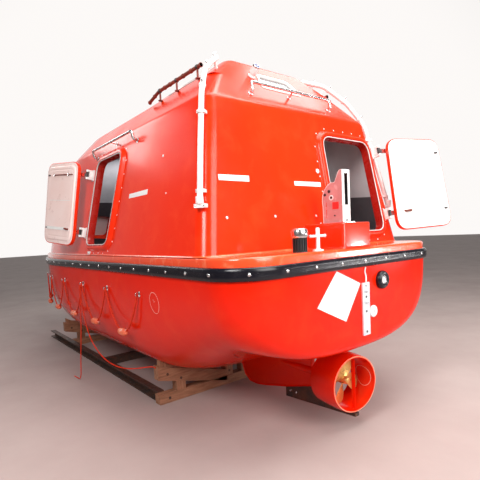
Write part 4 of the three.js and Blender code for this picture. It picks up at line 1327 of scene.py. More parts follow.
@dataclass
class Canopy:
    """The canopy and the helm's dome: hollow shells with their doorways and windows cut."""

    deep: float = 0.25
    hatch_deep: float = 0.42

    def openings(self) -> list[list[Patch]]:
        """Solids that stand through the walls where the doorways are.

        Returns:
            One closed form for each.
        """
        doors = [*((side_wall(side), side_corners(side), DOOR_RADIUS, self.deep) for side in SIDES.values()),
                 (AFT_WALL, STERN_CORNERS, DOOR_RADIUS, self.deep),
                 (FORE_WALL, FORE_CORNERS, 0.09, self.hatch_deep)]
        return [placed(slab(grown(rounded(corners, radius), 0.001), -deep, 0.1), wall)
                for wall, corners, radius, deep in doors]

    def panes(self) -> list[list[Patch]]:
        """Solids that stand through the walls where the windows are."""
        return [placed(slab(window.outline(), -0.14, 0.06), window.wall) for window in WINDOWS]

    def shell(self) -> None:
        """The canopy: its outer form less its hollow, its doorways, the dome's well and the aft window."""
        wall = CANOPY.dome_wall
        well = CANOPY.dome(wall, CANOPY.roof - 0.12, CANOPY.dome_top - wall, finish=1)
        cutters = [CANOPY.hollow(), well, *self.openings(), self.panes()[0]]
        mesh = carved("canopy_shell", CANOPY.solid(), cutters, 3)
        piece("canopy_shell", mesh, [GELCOAT, LINER, SHADED_LOWER_LINER], replaces=("canopy",),
              crease=24, weighted=True)

    def dome(self) -> None:
        """The helm's dome with its windows and the hatchway in its top."""
        wall, top = CANOPY.dome_wall, CANOPY.dome_top
        solid = CANOPY.dome(0, CANOPY.roof, top, 0.03)
        hollow = CANOPY.dome(wall, CANOPY.roof - 0.1, top - wall, finish=1)
        hatchway = placed(slab(rounded(TOP_CORNERS, 0.08), -0.12, 0.06), TOP_WALL)
        mesh = carved("helm_dome", solid, [hollow, hatchway, *self.panes()], 2)
        piece("helm_dome", mesh, [GELCOAT, LINER], replaces=("cupola",),
              crease=24, weighted=True)

    def windows(self) -> None:
        """Each window's pane, its rubber seal and its raised pale frame."""
        for window in WINDOWS:
            outline = window.outline()
            pane = placed(slab(grown(outline, -SEAT_GAP), -0.024, -0.012), window.wall)
            piece(window.name + "_pane", pane, [Pane()], replaces=(window.name,))
            seal = moulding(outline, [[-0.016, -0.012], [0.012, -0.012], [0.014, 0.004], [0.006, 0.007],
                                      [-0.008, 0.006], [-0.016, -0.004]])
            piece(window.name + "_seal", placed([seal], window.wall), [SEAL])

    def build(self) -> None:
        """Builds the canopy's pieces in order."""
        self.shell()
        self.dome()
        self.windows()


@dataclass(frozen=True)
class Softbox:
    """One large soft light.

    Attributes:
        name: Its name.
        place: Where it hangs.
        aim: What it faces.
        size: Length of its sides.
        power: Watts.
        tint: Its colour.
    """

    name: str
    place: Triple
    aim: Triple
    size: float
    power: float
    tint: Triple = (1.0, 0.97, 0.95)

    def build(self) -> None:
        """Hangs the light."""
        data = bpy.data.lights.new(self.name, "AREA")
        data.size, data.energy, data.color = self.size, self.power, self.tint
        lamp = linked(self.name, data)
        lamp.location = self.place
        lamp.rotation_euler = (Vector(self.aim) - Vector(self.place)).to_track_quat("-Z", "Y").to_euler()


LIGHTS = (
    Softbox("overhead", (-4.2, -0.8, 7.5), (-2.6, 0.0, 1.8), 5.0, 560, (1.0, 0.97, 0.93)),
    Softbox("aft_key", (-10.5, -0.3, 4.8), (-2.5, 0, 1.6), 5.5, 780, (1.0, 0.97, 0.94)),
    Softbox("glare", (-1.5, -4.2, 7.4), (-2.7, 0, 3.1), 1.8, 45),
    Softbox("cabin", (-1.6, 0, 2.62), (-1.6, 0, 1.0), 0.9, 12, (1.0, 0.97, 0.97)),
    Softbox("fore_cabin", (0.8, 0, 2.5), (1.6, 0, 2.3), 0.5, 7, (0.92, 0.95, 1.0)),
    Softbox("port_fill", (-5.0, 5.6, 5.0), (-2.0, 1.1, 2.1), 2.2, 340, (1.0, 0.98, 0.96)),
    Softbox("bow_sky", (6.6, 3.3, 6.3), (-1.0, 1.0, 2.5), 2.0, 70),
    Softbox("pedestal_sheen", (-9.6, -8.5, 1.52), (-3.48, 0, 1.64), 1.1, 180, (1.0, 0.98, 0.98)),
)


@dataclass
class Studio:
    """The camera at the photograph's angle, a pale floor and soft lights."""

    eye: Triple = (-5.513, 2.836, 1.697)
    right: Triple = (-0.6222, -0.7813, -0.0493)
    down: Triple = (-0.0319, 0.0882, -0.9955)
    lens: float = 30.97
    rise: float = 0.056
    white_side: Triple = (0.80, -0.60, 0.0)
    dim: float = 0.16
    bright: float = 0.98
    fade: Span = (0.40, 0.84)
    floor_size: float = 120.0
    floor_level: float = -0.002

    def camera(self) -> None:
        """Places the camera by its own right and down directions."""
        camera = linked("camera", bpy.data.cameras.new("camera"))
        right, down = Vector(self.right).normalized(), Vector(self.down).normalized()
        back = right.cross(-down).normalized()
        up = back.cross(right)
        turned = Matrix((right, up, back)).transposed().to_4x4()
        camera.matrix_world = Matrix.Translation(self.eye) @ turned
        camera.data.lens = self.lens
        camera.data.sensor_width = 36.0
        camera.data.shift_y = self.rise
        bpy.context.scene.camera = camera

    def floor(self) -> None:
        """A wide pale floor under the cradle."""
        level = lifted(rectangle(self.floor_size, self.floor_size), self.floor_level)
        floor = linked("floor", mesh_of("floor", [lid(level)]))
        concrete = Finish("pale_floor", (0.42, 0.34, 0.325), (0.36, 0.285, 0.27), 0.7, (0.6, 0.8), 0.0004, 60)
        floor.data.materials.append(concrete.material())

    def backdrop(self) -> None:
        """A world that is white towards the bow's starboard side and dimmer all round."""
        world = bpy.data.worlds.new("studio")
        world.use_nodes = True
        nodes, links = world.node_tree.nodes, world.node_tree.links
        place = nodes.new("ShaderNodeTexCoord")
        towards = nodes.new("ShaderNodeVectorMath")
        towards.operation = "DOT_PRODUCT"
        towards.inputs[1].default_value = self.white_side
        level = nodes.new("ShaderNodeMapRange")
        level.interpolation_type = "SMOOTHSTEP"
        levels = {"From Min": self.fade[0], "From Max": self.fade[1],
                  "To Min": self.dim, "To Max": self.bright}
        for key, value in levels.items():
            level.inputs[key].default_value = value
        sky = nodes["Background"]
        sky.inputs["Color"].default_value = (1.0, 0.97, 0.95, 1.0)
        links.new(place.outputs["Generated"], towards.inputs[0])
        links.new(towards.outputs["Value"], level.inputs["Value"])
        links.new(level.outputs["Result"], sky.inputs["Strength"])
        bpy.context.scene.world = world

    def build(self) -> None:
        """Builds the lights, the world and the floor."""
        self.backdrop()
        bpy.context.scene.view_settings.view_transform = "Standard"
        for light in LIGHTS:
            light.build()
        self.floor()


# Doors and hatches

LEAF_LOW = 0.040
LEAF_HIGH = 0.082
HINGE_OUT = 0.078
KNUCKLE = 0.014
KNUCKLE_HALF = 0.03
KNUCKLE_GAP = 0.001
LUG = 0.026
PAD_TOP = 0.014
STRAP_TOP = 0.007


def stack(outline: Array, rows: list[tuple[float, float]], finish: int = 0) -> list[Patch]:
    """Rings of one outline, each at an inset and a height, closed at both ends.

    Args:
        outline: Closed outline, anticlockwise.
        rows: Inset and height of each ring.
        finish: Number of the finish.

    Returns:
        The closed form.
    """
    return loft(np.stack([lifted(grown(outline, -inset), height) for inset, height in rows]), finish)


def nested(corners: Array, radius: float, rows: list[tuple[float, float]], finish: int = 0,
           steps: int = 12) -> list[Patch]:
    """Rings of one rounded panel, each at an inset and a height; corners tighten as the rings go in.

    Args:
        corners: Corners of the panel, anticlockwise.
        radius: Distance from a corner to its curve's ends, on the outermost ring.
        rows: Inset and height of each ring.
        finish: Number of the finish.
        steps: Steps in each corner.

    Returns:
        The closed form.
    """
    return loft(np.stack([lifted(rounded(grown(corners, -inset), max(radius - inset, 0.02), steps), height)
                          for inset, height in rows]), finish)


def span(corners: Array, up: float) -> tuple[float, float]:
    """How far a four-cornered opening reaches to each side at a height.

    Args:
        corners: The opening's corners.
        up: The height.

    Returns:
        The least and the greatest across.
    """
    closed = np.vstack([corners, corners[:1]])
    found = []
    for (x0, y0), (x1, y1) in zip(closed[:-1], closed[1:]):
        if min(y0, y1) < up < max(y0, y1):
            found.append(x0 + (x1 - x0) * (up - y0) / (y1 - y0))
    return min(found), max(found)


@dataclass
class Doorway:
    """A doorway with its coaming, its seal, its screws and the brackets of its hinge.

    Attributes:
        name: Short name of the doorway.
        wall: Frame of the wall that it is in.
        corners: Corners of the opening in that frame.
        hinge: Across and up of the hinge's two places, and how far out its axis is.
        radius: Distance from a corner to its curve's ends.
        screws: Distance between the screws round it, or none.
        pad: Width of the hinge's pads, how far in they stand, their depth and where their bolts are.
    """

    name: str
    wall: Array
    corners: Array
    hinge: tuple[tuple[float, float], tuple[float, float], float]
    radius: float = DOOR_RADIUS
    screws: float = 0.11
    pad: tuple[float, float, float, float] = (0.052, 0.006, 0.004, 0.012)

    def outline(self) -> Array:
        """The opening's outline."""
        return rounded(self.corners, self.radius)

    def axis(self) -> tuple[Array, Array]:
        """The hinge's low and high points in the boat's frame."""
        low, high, out = self.hinge
        return on(self.wall, *low, out), on(self.wall, *high, out)

    def coaming(self) -> None:
        """The frame: a dark finish inside the opening that is painted shade of the jamb, orange on its outer
        slope, pale seal on its inner edge.
        """
        outline = self.outline()
        inner = [[0, -0.056], [0, 0.027], [0.004, 0.033], [0.016, 0.034], [0.016, -0.05]]
        outer = [[0.014, -0.03], [0.014, 0.0335], [0.032, 0.034], [0.044, 0.030], [0.053, 0.019],
                 [0.058, 0.008], [0.070, 0.002], [0.072, -0.006]]
        seal = circle(0.0052, 10, 0.0005, 0.0292)
        # The inner band takes the dark finish, which is painted shade of the jamb.
        patches = [moulding(outline, inner, 1), moulding(outline, outer, 0), moulding(outline, seal, 2)]
        piece(self.name + "_coaming", placed(patches, self.wall), [GELCOAT, SHADED_JAMB_GELCOAT, SEAL],
              crease=50)

    def screw_ring(self) -> None:
        """Small screw heads on the wall round the coaming."""
        ring = grown(self.outline(), 0.088)
        spots = even_ring(ring, int(run_of(ring)[-1] / self.screws))
        heads = bolts(0.0065, 0.003, [(*spot, 0) for spot in spots])
        piece(self.name + "_screws", placed(heads, self.wall), [WHITE])

    def brackets(self) -> None:
        """Each hinge place's two lugs, with their pad on the wall and its bolts."""
        low, high = self.axis()
        along = unit(high - low)
        middle = self.corners.mean(0)[0]
        width, inwards, deep, bolt_at = self.pad
        lugs, flat = [], []
        for place in (low, high):
            x, y, _ = off(self.wall, place)
            away = math.copysign(1, x - middle)
            flat += block(width, 0.128, x - away * inwards, y, 0.012, -deep, PAD_TOP, 0.004)
            flat += block(0.030, 2 * KNUCKLE_HALF + 0.01, x, y, 0.004, 0.01, 0.059, 0.003)
            for end in (-1, 1):
                near = place + along * end * (KNUCKLE_HALF + KNUCKLE_GAP)
                far = place + along * end * (KNUCKLE_HALF + LUG)
                lugs += rod(near, far, KNUCKLE, 20)
                across, up, out = off(self.wall, (near + far) / 2)
                flat += block(0.026, LUG - 0.003, across, up, 0.004, 0, out - 0.002, 0.002)
                flat += bolts(0.006, 0.004, [(x + away * bolt_at, up, PAD_TOP)], 1)
        piece(self.name + "_hinge_brackets", lugs + placed(flat, self.wall), [WHITE, STEEL])

    def build(self) -> None:
        """Builds the doorway's pieces."""
        self.coaming()
        if self.screws:
            self.screw_ring()
        self.brackets()


@dataclass
class Leaf:
    """A door leaf: orange outer skin, pale inner liner, locking bars, handles and its half of the hinge.

    It is made closed, in its wall's frame, and turned about the hinge to where it stands at rest.
    """

    doorway: Doorway
    body: Body
    towards: int
    angle: float
    liner: Finish = DOOR_LINER
    upper_bar: int = 4
    handle: float = 0.19
    overlap: float = 0.03
    edge: float = 0.014
    radius: float = 0.14

    def stand(self, patches: list[Patch]) -> list[Patch]:
        """Carries patches from the wall's frame to the leaf's place at rest."""
        low, high = self.doorway.axis()
        return placed(patches, turn(self.angle, high - low, low) @ self.doorway.wall)

    def panels(self) -> list[Patch]:
        """The skin with its rolled edge and sunk panel, and the liner with its step and groove.

        Returns:
            The patches.
        """
        panel = grown(self.doorway.corners, self.overlap)
        skin = [(0.006, LEAF_LOW), (0.001, LEAF_LOW + 0.002), (0, LEAF_LOW + 0.006),
                *rolled(self.edge, LEAF_HIGH, 6), (0.05, LEAF_HIGH), (0.056, LEAF_HIGH - 0.004),
                (0.1, LEAF_HIGH - 0.004)]
        liner = [(0.009, LEAF_LOW + 0.006), (0.009, 0.0395), (0.011, 0.0378), (0.045, 0.0378), (0.052, 0.031),
                 (0.060, 0.0275), (0.088, 0.0275), (0.092, 0.0305), (0.097, 0.0305), (0.101, 0.0275),
                 (0.11, 0.0275)]
        return [*nested(panel, self.radius, skin), *nested(panel, self.radius, liner, 1)]

    def locks(self) -> list[Patch]:
        """The upper locking bar with its guides, the pale rail with its grip, the levers and a level seam.

        Returns:
            The patches.
        """
        corners = self.doorway.corners
        low, high = corners[:, 1].min() + 0.16, corners[:, 1].max() - 0.13
        patches = []
        for up in (low, high):
            left, right = span(corners, up)
            hinged, free = (left, right)[::self.towards]
            at = [hinged + (free - hinged) * share for share in (0.10, 0.22, 0.72, 0.90)]
            if up == low:
                patches += block(abs(free - hinged) - 0.10, 0.034, (free + hinged) / 2, up, 0.006,
                                 0.0225, 0.029, 0.002, 5)
                patches += rod([at[0], up, 0.016], [at[1], up + 0.004, 0.016], 0.011, 14, 4)
                patches += rod([at[0], up + 0.004, 0.016], [at[0], up + 0.004, 0.026], 0.009, 12, 4)
            elif self.upper_bar:
                patches += rod([at[0], up, 0.020], [at[2], up, 0.020], 0.0065, 12, self.upper_bar)
                for x in (at[1], at[2]):
                    patches += block(0.020, 0.030, x, up, 0.004, 0.014, 0.028, 0.002, 3)
            patches += rod([at[3], up, 0.022], [free - self.towards * 0.035, up, 0.022], 0.009, 12, 2)
            if self.upper_bar:
                edge, tip = free + self.towards * 0.027, free + self.towards * 0.053
                patches += rod([edge, up, 0.058], [tip, up + 0.006, 0.058], 0.007, 12, 2)
        middle = corners.mean(0)
        left, right = span(corners, middle[1])
        seam = rectangle(right - left - 0.17, 0.006, (left + right) / 2, middle[1] + 0.03)
        return patches + slab(seam, 0.0262, 0.029, 0.0006, 5)

    def outside(self) -> list[Patch]:
        """The outer handle: a disc, its boss and the lever.

        Returns:
            The patches.
        """
        x, y = self.doorway.corners.mean(0) + [self.towards * self.handle, 0]
        top = LEAF_HIGH + 0.034
        return [*slab(circle(0.032, 28, x, y), LEAF_HIGH - 0.005, LEAF_HIGH + 0.008, 0.003, 3),
                *rod([x, y, LEAF_HIGH], [x, y, top], 0.022, 24, 3),
                *block(0.034, 0.19, x, y - 0.07, 0.014, top - 0.016, top, 0.005, 3)]

    def hinge(self) -> list[Patch]:
        """Knuckles with their straps on the leaf's outer face, each strap with three bolts.

        Returns:
            The patches.
        """
        wall, corners = self.doorway.wall, self.doorway.corners
        low, high = self.doorway.axis()
        along = unit(high - low)
        patches = []
        for place in (low, high):
            ends = [off(wall, place + along * end * KNUCKLE_HALF) for end in (-1, 1)]
            patches += rod(*ends, KNUCKLE, 20, 2)
            x, y, _ = off(wall, place)
            top = LEAF_HIGH + STRAP_TOP
            patches += block(0.19, 0.044, x + self.towards * 0.095, y, 0.012, LEAF_HIGH - 0.001, top,
                             0.002, 3)
            edge = min(abs(x - side) for side in span(corners, y)) - self.overlap
            spots = [(x + self.towards * (edge + reach), y, top) for reach in (0.014, 0.038)]
            patches += bolts(0.008, 0.005, spots, 3)
        return patches

    def build(self) -> None:
        """Builds the whole leaf as one piece."""
        patches = [*self.panels(), *self.locks(), *self.outside(), *self.hinge()]
        node = self.doorway.name + "_door"
        finishes = [GELCOAT, self.liner, BLACK, STEEL, RED_PIPE, WHITE]
        piece(node + "_leaf", self.stand(patches), finishes, self.body, replaces=(node,),
              crease=42, weighted=True)


@dataclass
class HatchLid:
    """A square hatch lid with its rolled edge, hinge straps and grip, and its coaming on the boat.

    Attributes:
        name: The frame's node.
        body: The body that it rides on.
        wall: Frame of the face that it is on.
        corners: Corners of the hatchway.
        low: Height of the lid's underside.
        thick: The lid's thickness.
        radius: Distance from a corner to its curve's ends, on the lid.
        hinge_up: How far up the face the hinge is.
        hinge_out: How far out it is.
        rim: Rows of distance outwards and height, round the coaming.
        hatch_radius: Distance from a corner to its curve's ends, on the hatchway.
        hinge_across: How far to each side the hinge's straps are.
        overlap: How far the lid reaches past the hatchway.
    """

    name: str
    body: Body
    wall: Array
    corners: Array
    low: float
    thick: float
    radius: float
    hinge_up: float
    hinge_out: float
    rim: tuple[tuple[float, float], ...]
    hatch_radius: float = 0.09
    hinge_across: float = 0.15
    overlap: float = 0.025
    edge: float = 0.01

    def build(self) -> None:
        """Builds the lid and its coaming."""
        high = self.low + self.thick
        panel = grown(self.corners, self.overlap)
        rows = [(0.003, self.low), (0, self.low + 0.003), *rolled(self.edge, high, 5), (0.05, high),
                (0.06, high - 0.005), (0.085, high - 0.005)]
        liner = [(0.03, self.low + 0.004), (0.03, self.low - 0.004), (0.08, self.low - 0.004)]
        patches = nested(panel, self.radius, rows, 0, 10) + nested(panel, self.radius, liner, 1, 10)
        fixed, up, out = [], self.hinge_up, self.hinge_out
        for x in (-self.hinge_across, self.hinge_across):
            patches += rod([x - KNUCKLE_HALF, up, out], [x + KNUCKLE_HALF, up, out], KNUCKLE, 20, 2)
            patches += block(0.044, 0.15, x, up - 0.075, 0.01, high - 0.004, high + STRAP_TOP, 0.002, 3)
            patches += bolts(0.008, 0.005, [(x, up - reach, high + STRAP_TOP) for reach in (0.07, 0.125)], 3)
            for end in (-1, 1):
                near, far = x + end * (KNUCKLE_HALF + KNUCKLE_GAP), x + end * (KNUCKLE_HALF + LUG)
                fixed += rod([near, up, out], [far, up, out], KNUCKLE, 20, 1)
                fixed += block(LUG - 0.004, 0.024, (near + far) / 2, up + 0.006, 0.004, -0.01, out - 0.002,
                               0.002, 1)
        y = -self.corners[2][1] * 0.6
        patches += rod([0, y, high - 0.006], [0, y, high + 0.03], 0.016, 20, 3)
        patches += rod([-0.07, y, high + 0.022], [0.07, y, high + 0.022], 0.008, 14, 3)
        piece(self.name + "_lid", placed(patches, self.wall), [GELCOAT, DOOR_LINER, BLACK, STEEL], self.body,
              replaces=(self.name,), crease=42)
        ring = moulding(rounded(self.corners, self.hatch_radius, 10), self.rim)
        piece(self.name + "_coaming", placed([ring, *fixed], self.wall), [GELCOAT, WHITE],
              crease=42)


def side_doorway(label: str, side: int) -> Doorway:
    """The doorway of one side wall."""
    hinge = ((forward(side, -0.58), 0.226), (forward(side, -0.60), 0.906), HINGE_OUT)
    return Doorway(label, side_wall(side), side_corners(side), hinge)


DOORWAYS = {label: side_doorway(label, side) for label, side in SIDES.items()}
DOORWAYS["stern"] = Doorway("stern", AFT_WALL, STERN_CORNERS, ((1.045, 0.254), (1.045, 0.914), HINGE_OUT),
                            pad=(0.040, 0.012, 0.07, -0.024))
LEAVES = [
    Leaf(DOORWAYS["port"], Body.PORT_DOOR, 1, -167),
    Leaf(DOORWAYS["starboard"], Body.STARBOARD_DOOR, -1, 0),
    Leaf(DOORWAYS["stern"], Body.STERN_DOOR, -1, 167, PALE_LINER, 0),
]
FORE_RIM = ((0, -0.056), (0, 0.03), (0.005, 0.034), (0.04, 0.034), (0.056, 0.024), (0.062, 0), (0.06, -0.02))
TOP_RIM = ((0, -0.045), (0, 0.022), (0.005, 0.026), (0.03, 0.026), (0.04, 0.02), (0.045, 0), (0.045, -0.01))
HATCHES = [
    HatchLid("fore_hatch", Body.FORE_HATCH, FORE_WALL, FORE_CORNERS, LEAF_LOW, 0.034, 0.1, 0.358, 0.062,
             FORE_RIM),
    HatchLid("top_hatch", Body.TOP_HATCH, TOP_WALL, TOP_CORNERS, 0.032, 0.026, 0.09, 0.326, 0.052,
             TOP_RIM, 0.08),
]


# Steering nozzle, propeller and skeg


@dataclass
class SternGear:
    """The nozzle on its stock, the propeller inside it, the skeg with its boss, and the heel bar."""

    x: float = -3.29
    z: float = 0.392
    outer: float = 0.248
    inner: float = 0.222
    half: float = 0.148
    fin: tuple[float, float] = (-0.145, -0.104)
    turned: float = -9.2
    stock: float = 0.018
    stock_top: float = 0.656
    tip: float = 0.21
    hub: float = 0.035
    half_hub: float = 0.045
    pitch: float = 0.33
    blades: int = 4
    first_blade: float = math.degrees(0.35)
    half_bar: float = 0.0248
    chalk_size: float = 0.088

    def lying(self) -> Array:
        """Turns +Z to +X and moves to the propeller's middle."""
        return shift(self.x, 0, self.z) @ turn(90, "Y")

    def nozzle(self) -> None:
        """A ring of foil section with a pale aft rim that is a painted highlight, its fin across the outlet,
        its stock and flange.
        """
        o, i, h = self.outer, self.inner, self.half
        a = np.linspace(-QUARTER, QUARTER, 7)
        nose = [[(o + i) / 2 + 0.001 + 0.009 * math.sin(t), h - 0.008 + 0.008 * math.cos(t)] for t in a]
        section = np.array([[i + 0.003, -h], [i, -h / 3], [i, h / 3], [i + 0.004, h * 0.7], *nose,
                            [o - 0.001, h / 3], [o, -h / 3], [o - 0.008, -h + 0.003], [o - 0.011, -h]])
        patches = placed(revolved(section, 96, 0, True), self.lying())
        # The aft rim takes the pale finish, which is a painted highlight.
        rim = [[i + 0.008, -h - 0.0003], [o - 0.0115, -h - 0.0003], [o - 0.0095, -h + 0.0015],
               [o - 0.012, -h + 0.002], [i + 0.009, -h + 0.002]]
        patches += placed(revolved(np.array(rim), 96, 2, True), self.lying())
        rows = [(0, 0.0008), (0.25, 0.005), (0.6, 0.006), (1, 0.002)]
        foil = np.array([[self.x + self.fin[0] + (self.fin[1] - self.fin[0]) * t, w] for t, w in rows])
        ring = np.vstack([foil * [1, -1], foil[::-1]])
        reach = self.inner + 0.003
        patches += loft(np.stack([lifted(ring, self.z - reach), lifted(ring, self.z + reach)]))
        patches += rod([self.x, 0, self.z + o - 0.01], [self.x, 0, self.stock_top], self.stock, 24, 1)
        top = self.z + o + 0.008
        patches += slab(circle(0.05, 32, self.x, 0), top - 0.014, top, 0.003)
        patches += bolts(0.006, 0.005, [(*spot, top) for spot in circle(0.037, 6, self.x, 0)], 1)
        patches += self.chalk()
        patches = placed(patches, turn(self.turned, "Z", (self.x, 0, 0)))
        piece("nozzle_ring", patches, [HULL_GELCOAT, STEEL, HIGHLIGHT_EDGE, CHALK], Body.NOZZLE,
              replaces=("steering_nozzle",), crease=35)

    def chalk(self) -> list[Patch]:
        """A hand-drawn ring on the starboard wall inside the nozzle, as a thin raised line.

        Returns:
            The patches.
        """
        a = angles(72)
        size = self.chalk_size * (1 + 0.04 * np.sin(2 * a) + 0.03 * np.sin(3 * a + 1))
        rings = []
        for inwards, by in ((-0.0005, -0.0024), (0.0006, -0.0012), (0.0006, 0.0012), (-0.0005, 0.0024)):
            x = self.x - 0.02 + (size + by) * np.cos(a)
            up = (size + by) * np.sin(a) / self.inner
            r = self.inner - inwards
            rings.append(np.stack([x, -r * np.cos(up), self.z + r * np.sin(up)], -1))
        return [grid(np.stack(rings), round_u=True, round_v=True, finish=3)]

    def blade(self) -> list[Patch]:
        """One blade: foil sections at growing radius, each turned to the pitch angle there and wrapped.

        The chord grows and closes with the radius, and a point at c along the chord stands
        c cos(turn) round the axis and c sin(turn) along it.

        Returns:
            The patches.
        """
        shares = np.array([0.05, 0.15, 0.3, 0.45, 0.6, 0.72, 0.82, 0.9, 0.955, 0.985, 1.0])
        chord = np.interp(shares, [0, 0.3, 0.6, 0.8, 0.92, 0.97, 1],
                          [0.075, 0.11, 0.152, 0.15, 0.118, 0.085, 0.03])
        thick = np.interp(shares, [0, 1], [0.014, 0.003])
        a = angles(24)
        r = (self.hub * 0.6 + (self.tip - self.hub * 0.6) * shares)[:, None]
        c = chord[:, None] * np.cos(a) / 2
        t = thick[:, None] * np.sin(a) / 2 * (1.15 - 0.35 * np.cos(a))
        angle = np.arctan2(self.pitch, math.tau * r)
        across = c * np.cos(angle) - t * np.sin(angle)
        along = (c * np.sin(angle) + t * np.cos(angle)) * 0.62
        round_by = across / r
        return loft(np.stack([along, r * np.sin(round_by), r * np.cos(round_by)], -1))

    def propeller(self) -> None:
        """The hub with its fairing cap and nut, and the blades."""
        h, b = self.half_hub, self.hub
        a = np.linspace(0, QUARTER, 6)
        cap = [[0.016 + (b - 0.012) * math.sin(t) * 0.6, -h - 0.014 + 0.012 * (1 - math.cos(t))] for t in a]
        profile = np.array([[0.004, -h - 0.016], *cap, [b * 0.9, -h], [b, -0.01], [b, h - 0.003],
                            [b - 0.003, h], [0.004, h]])
        patches = placed(revolved(profile, 40), turn(90, "Y"))
        for number in range(self.blades):
            patches += placed(self.blade(), turn(360 * number / self.blades + self.first_blade, "X"))
        patches = placed(patches, shift(self.x, 0, self.z))
        piece("bronze_propeller", patches, [BRASS], Body.PROPELLER, replaces=("propeller",),
              crease=40)

    def skeg(self) -> None:
        """The deadwood under the run, its leading and trailing edges rounded, with the shaft boss."""
        outline = np.array([[-2.95, 0.246], [-2.6, 0.15], [-2.3, 0.085], [-2.15, 0.062], [-2.03, 0.070],
                            [-1.95, 0.13], [-1.88, 0.30], [-2.6, 0.57], [-2.95, 0.67]])
        patches = placed(slab(rounded(outline, 0.02, 4), -0.025, 0.025, 0.012), UPRIGHT)
        boss = tube(np.array([[self.x + self.half_hub + 0.001, 0, self.z], [self.x + 0.07, 0, self.z],
                              [self.x + 0.12, 0, self.z], [-2.75, 0, self.z], [-2.54, 0, self.z]]),
                    np.array([0.034, 0.040, 0.040, 0.036, 0.02]), 32)
        piece("skeg_deadwood", patches + boss, [HULL_GELCOAT], replaces=("skeg",),
              crease=42, weighted=True)
        bar = np.array([[-3.43, 0.106], [-2.6, 0.058], [-2.6, 0.1495], [-2.95, 0.2455], [-3.075, 0.134],
                        [-3.43, 0.134]])
        half = self.half_bar
        heel = placed(slab(bar, -half, half, 0.002), UPRIGHT)
        heel += rod([self.x, 0, 0.125], [self.x, 0, self.z - self.outer], 0.014, 20)
        for x in (-2.66, -2.74):
            for side in (-1, 1):
                heel += placed(dome_bolt(0.011, 0.006, 1), basis([x, side * half, 0.128], [0, side, 0]))
        piece("heel_bar_steel", heel, [DARK_STEEL, STEEL], replaces=("heel_bar",),
              crease=30)

    def build(self) -> None:
        """Builds the stern gear's pieces."""
        self.nozzle()
        self.propeller()
        self.skeg()


# Hooks and fittings on the deck and the transom

HOOK_BASE = 1.745
HOOK_OUTLINE = np.array([
    [-102, 0], [104, 0], [106, 140], [112, 190], [108, 240], [86, 286], [50, 325], [18, 342], [-22, 340],
    [-38, 372], [-56, 412], [-74, 434], [-102, 436]]) / 1000
HOOK_CAP = np.array([[-102, 405], [-52.9, 405], [-56, 412], [-74, 434], [-102, 436]]) / 1000
HOOK_FOOT = np.array([[-102, 0], [104, 0], [106, 140], [106.6, 148], [-102, 148]]) / 1000


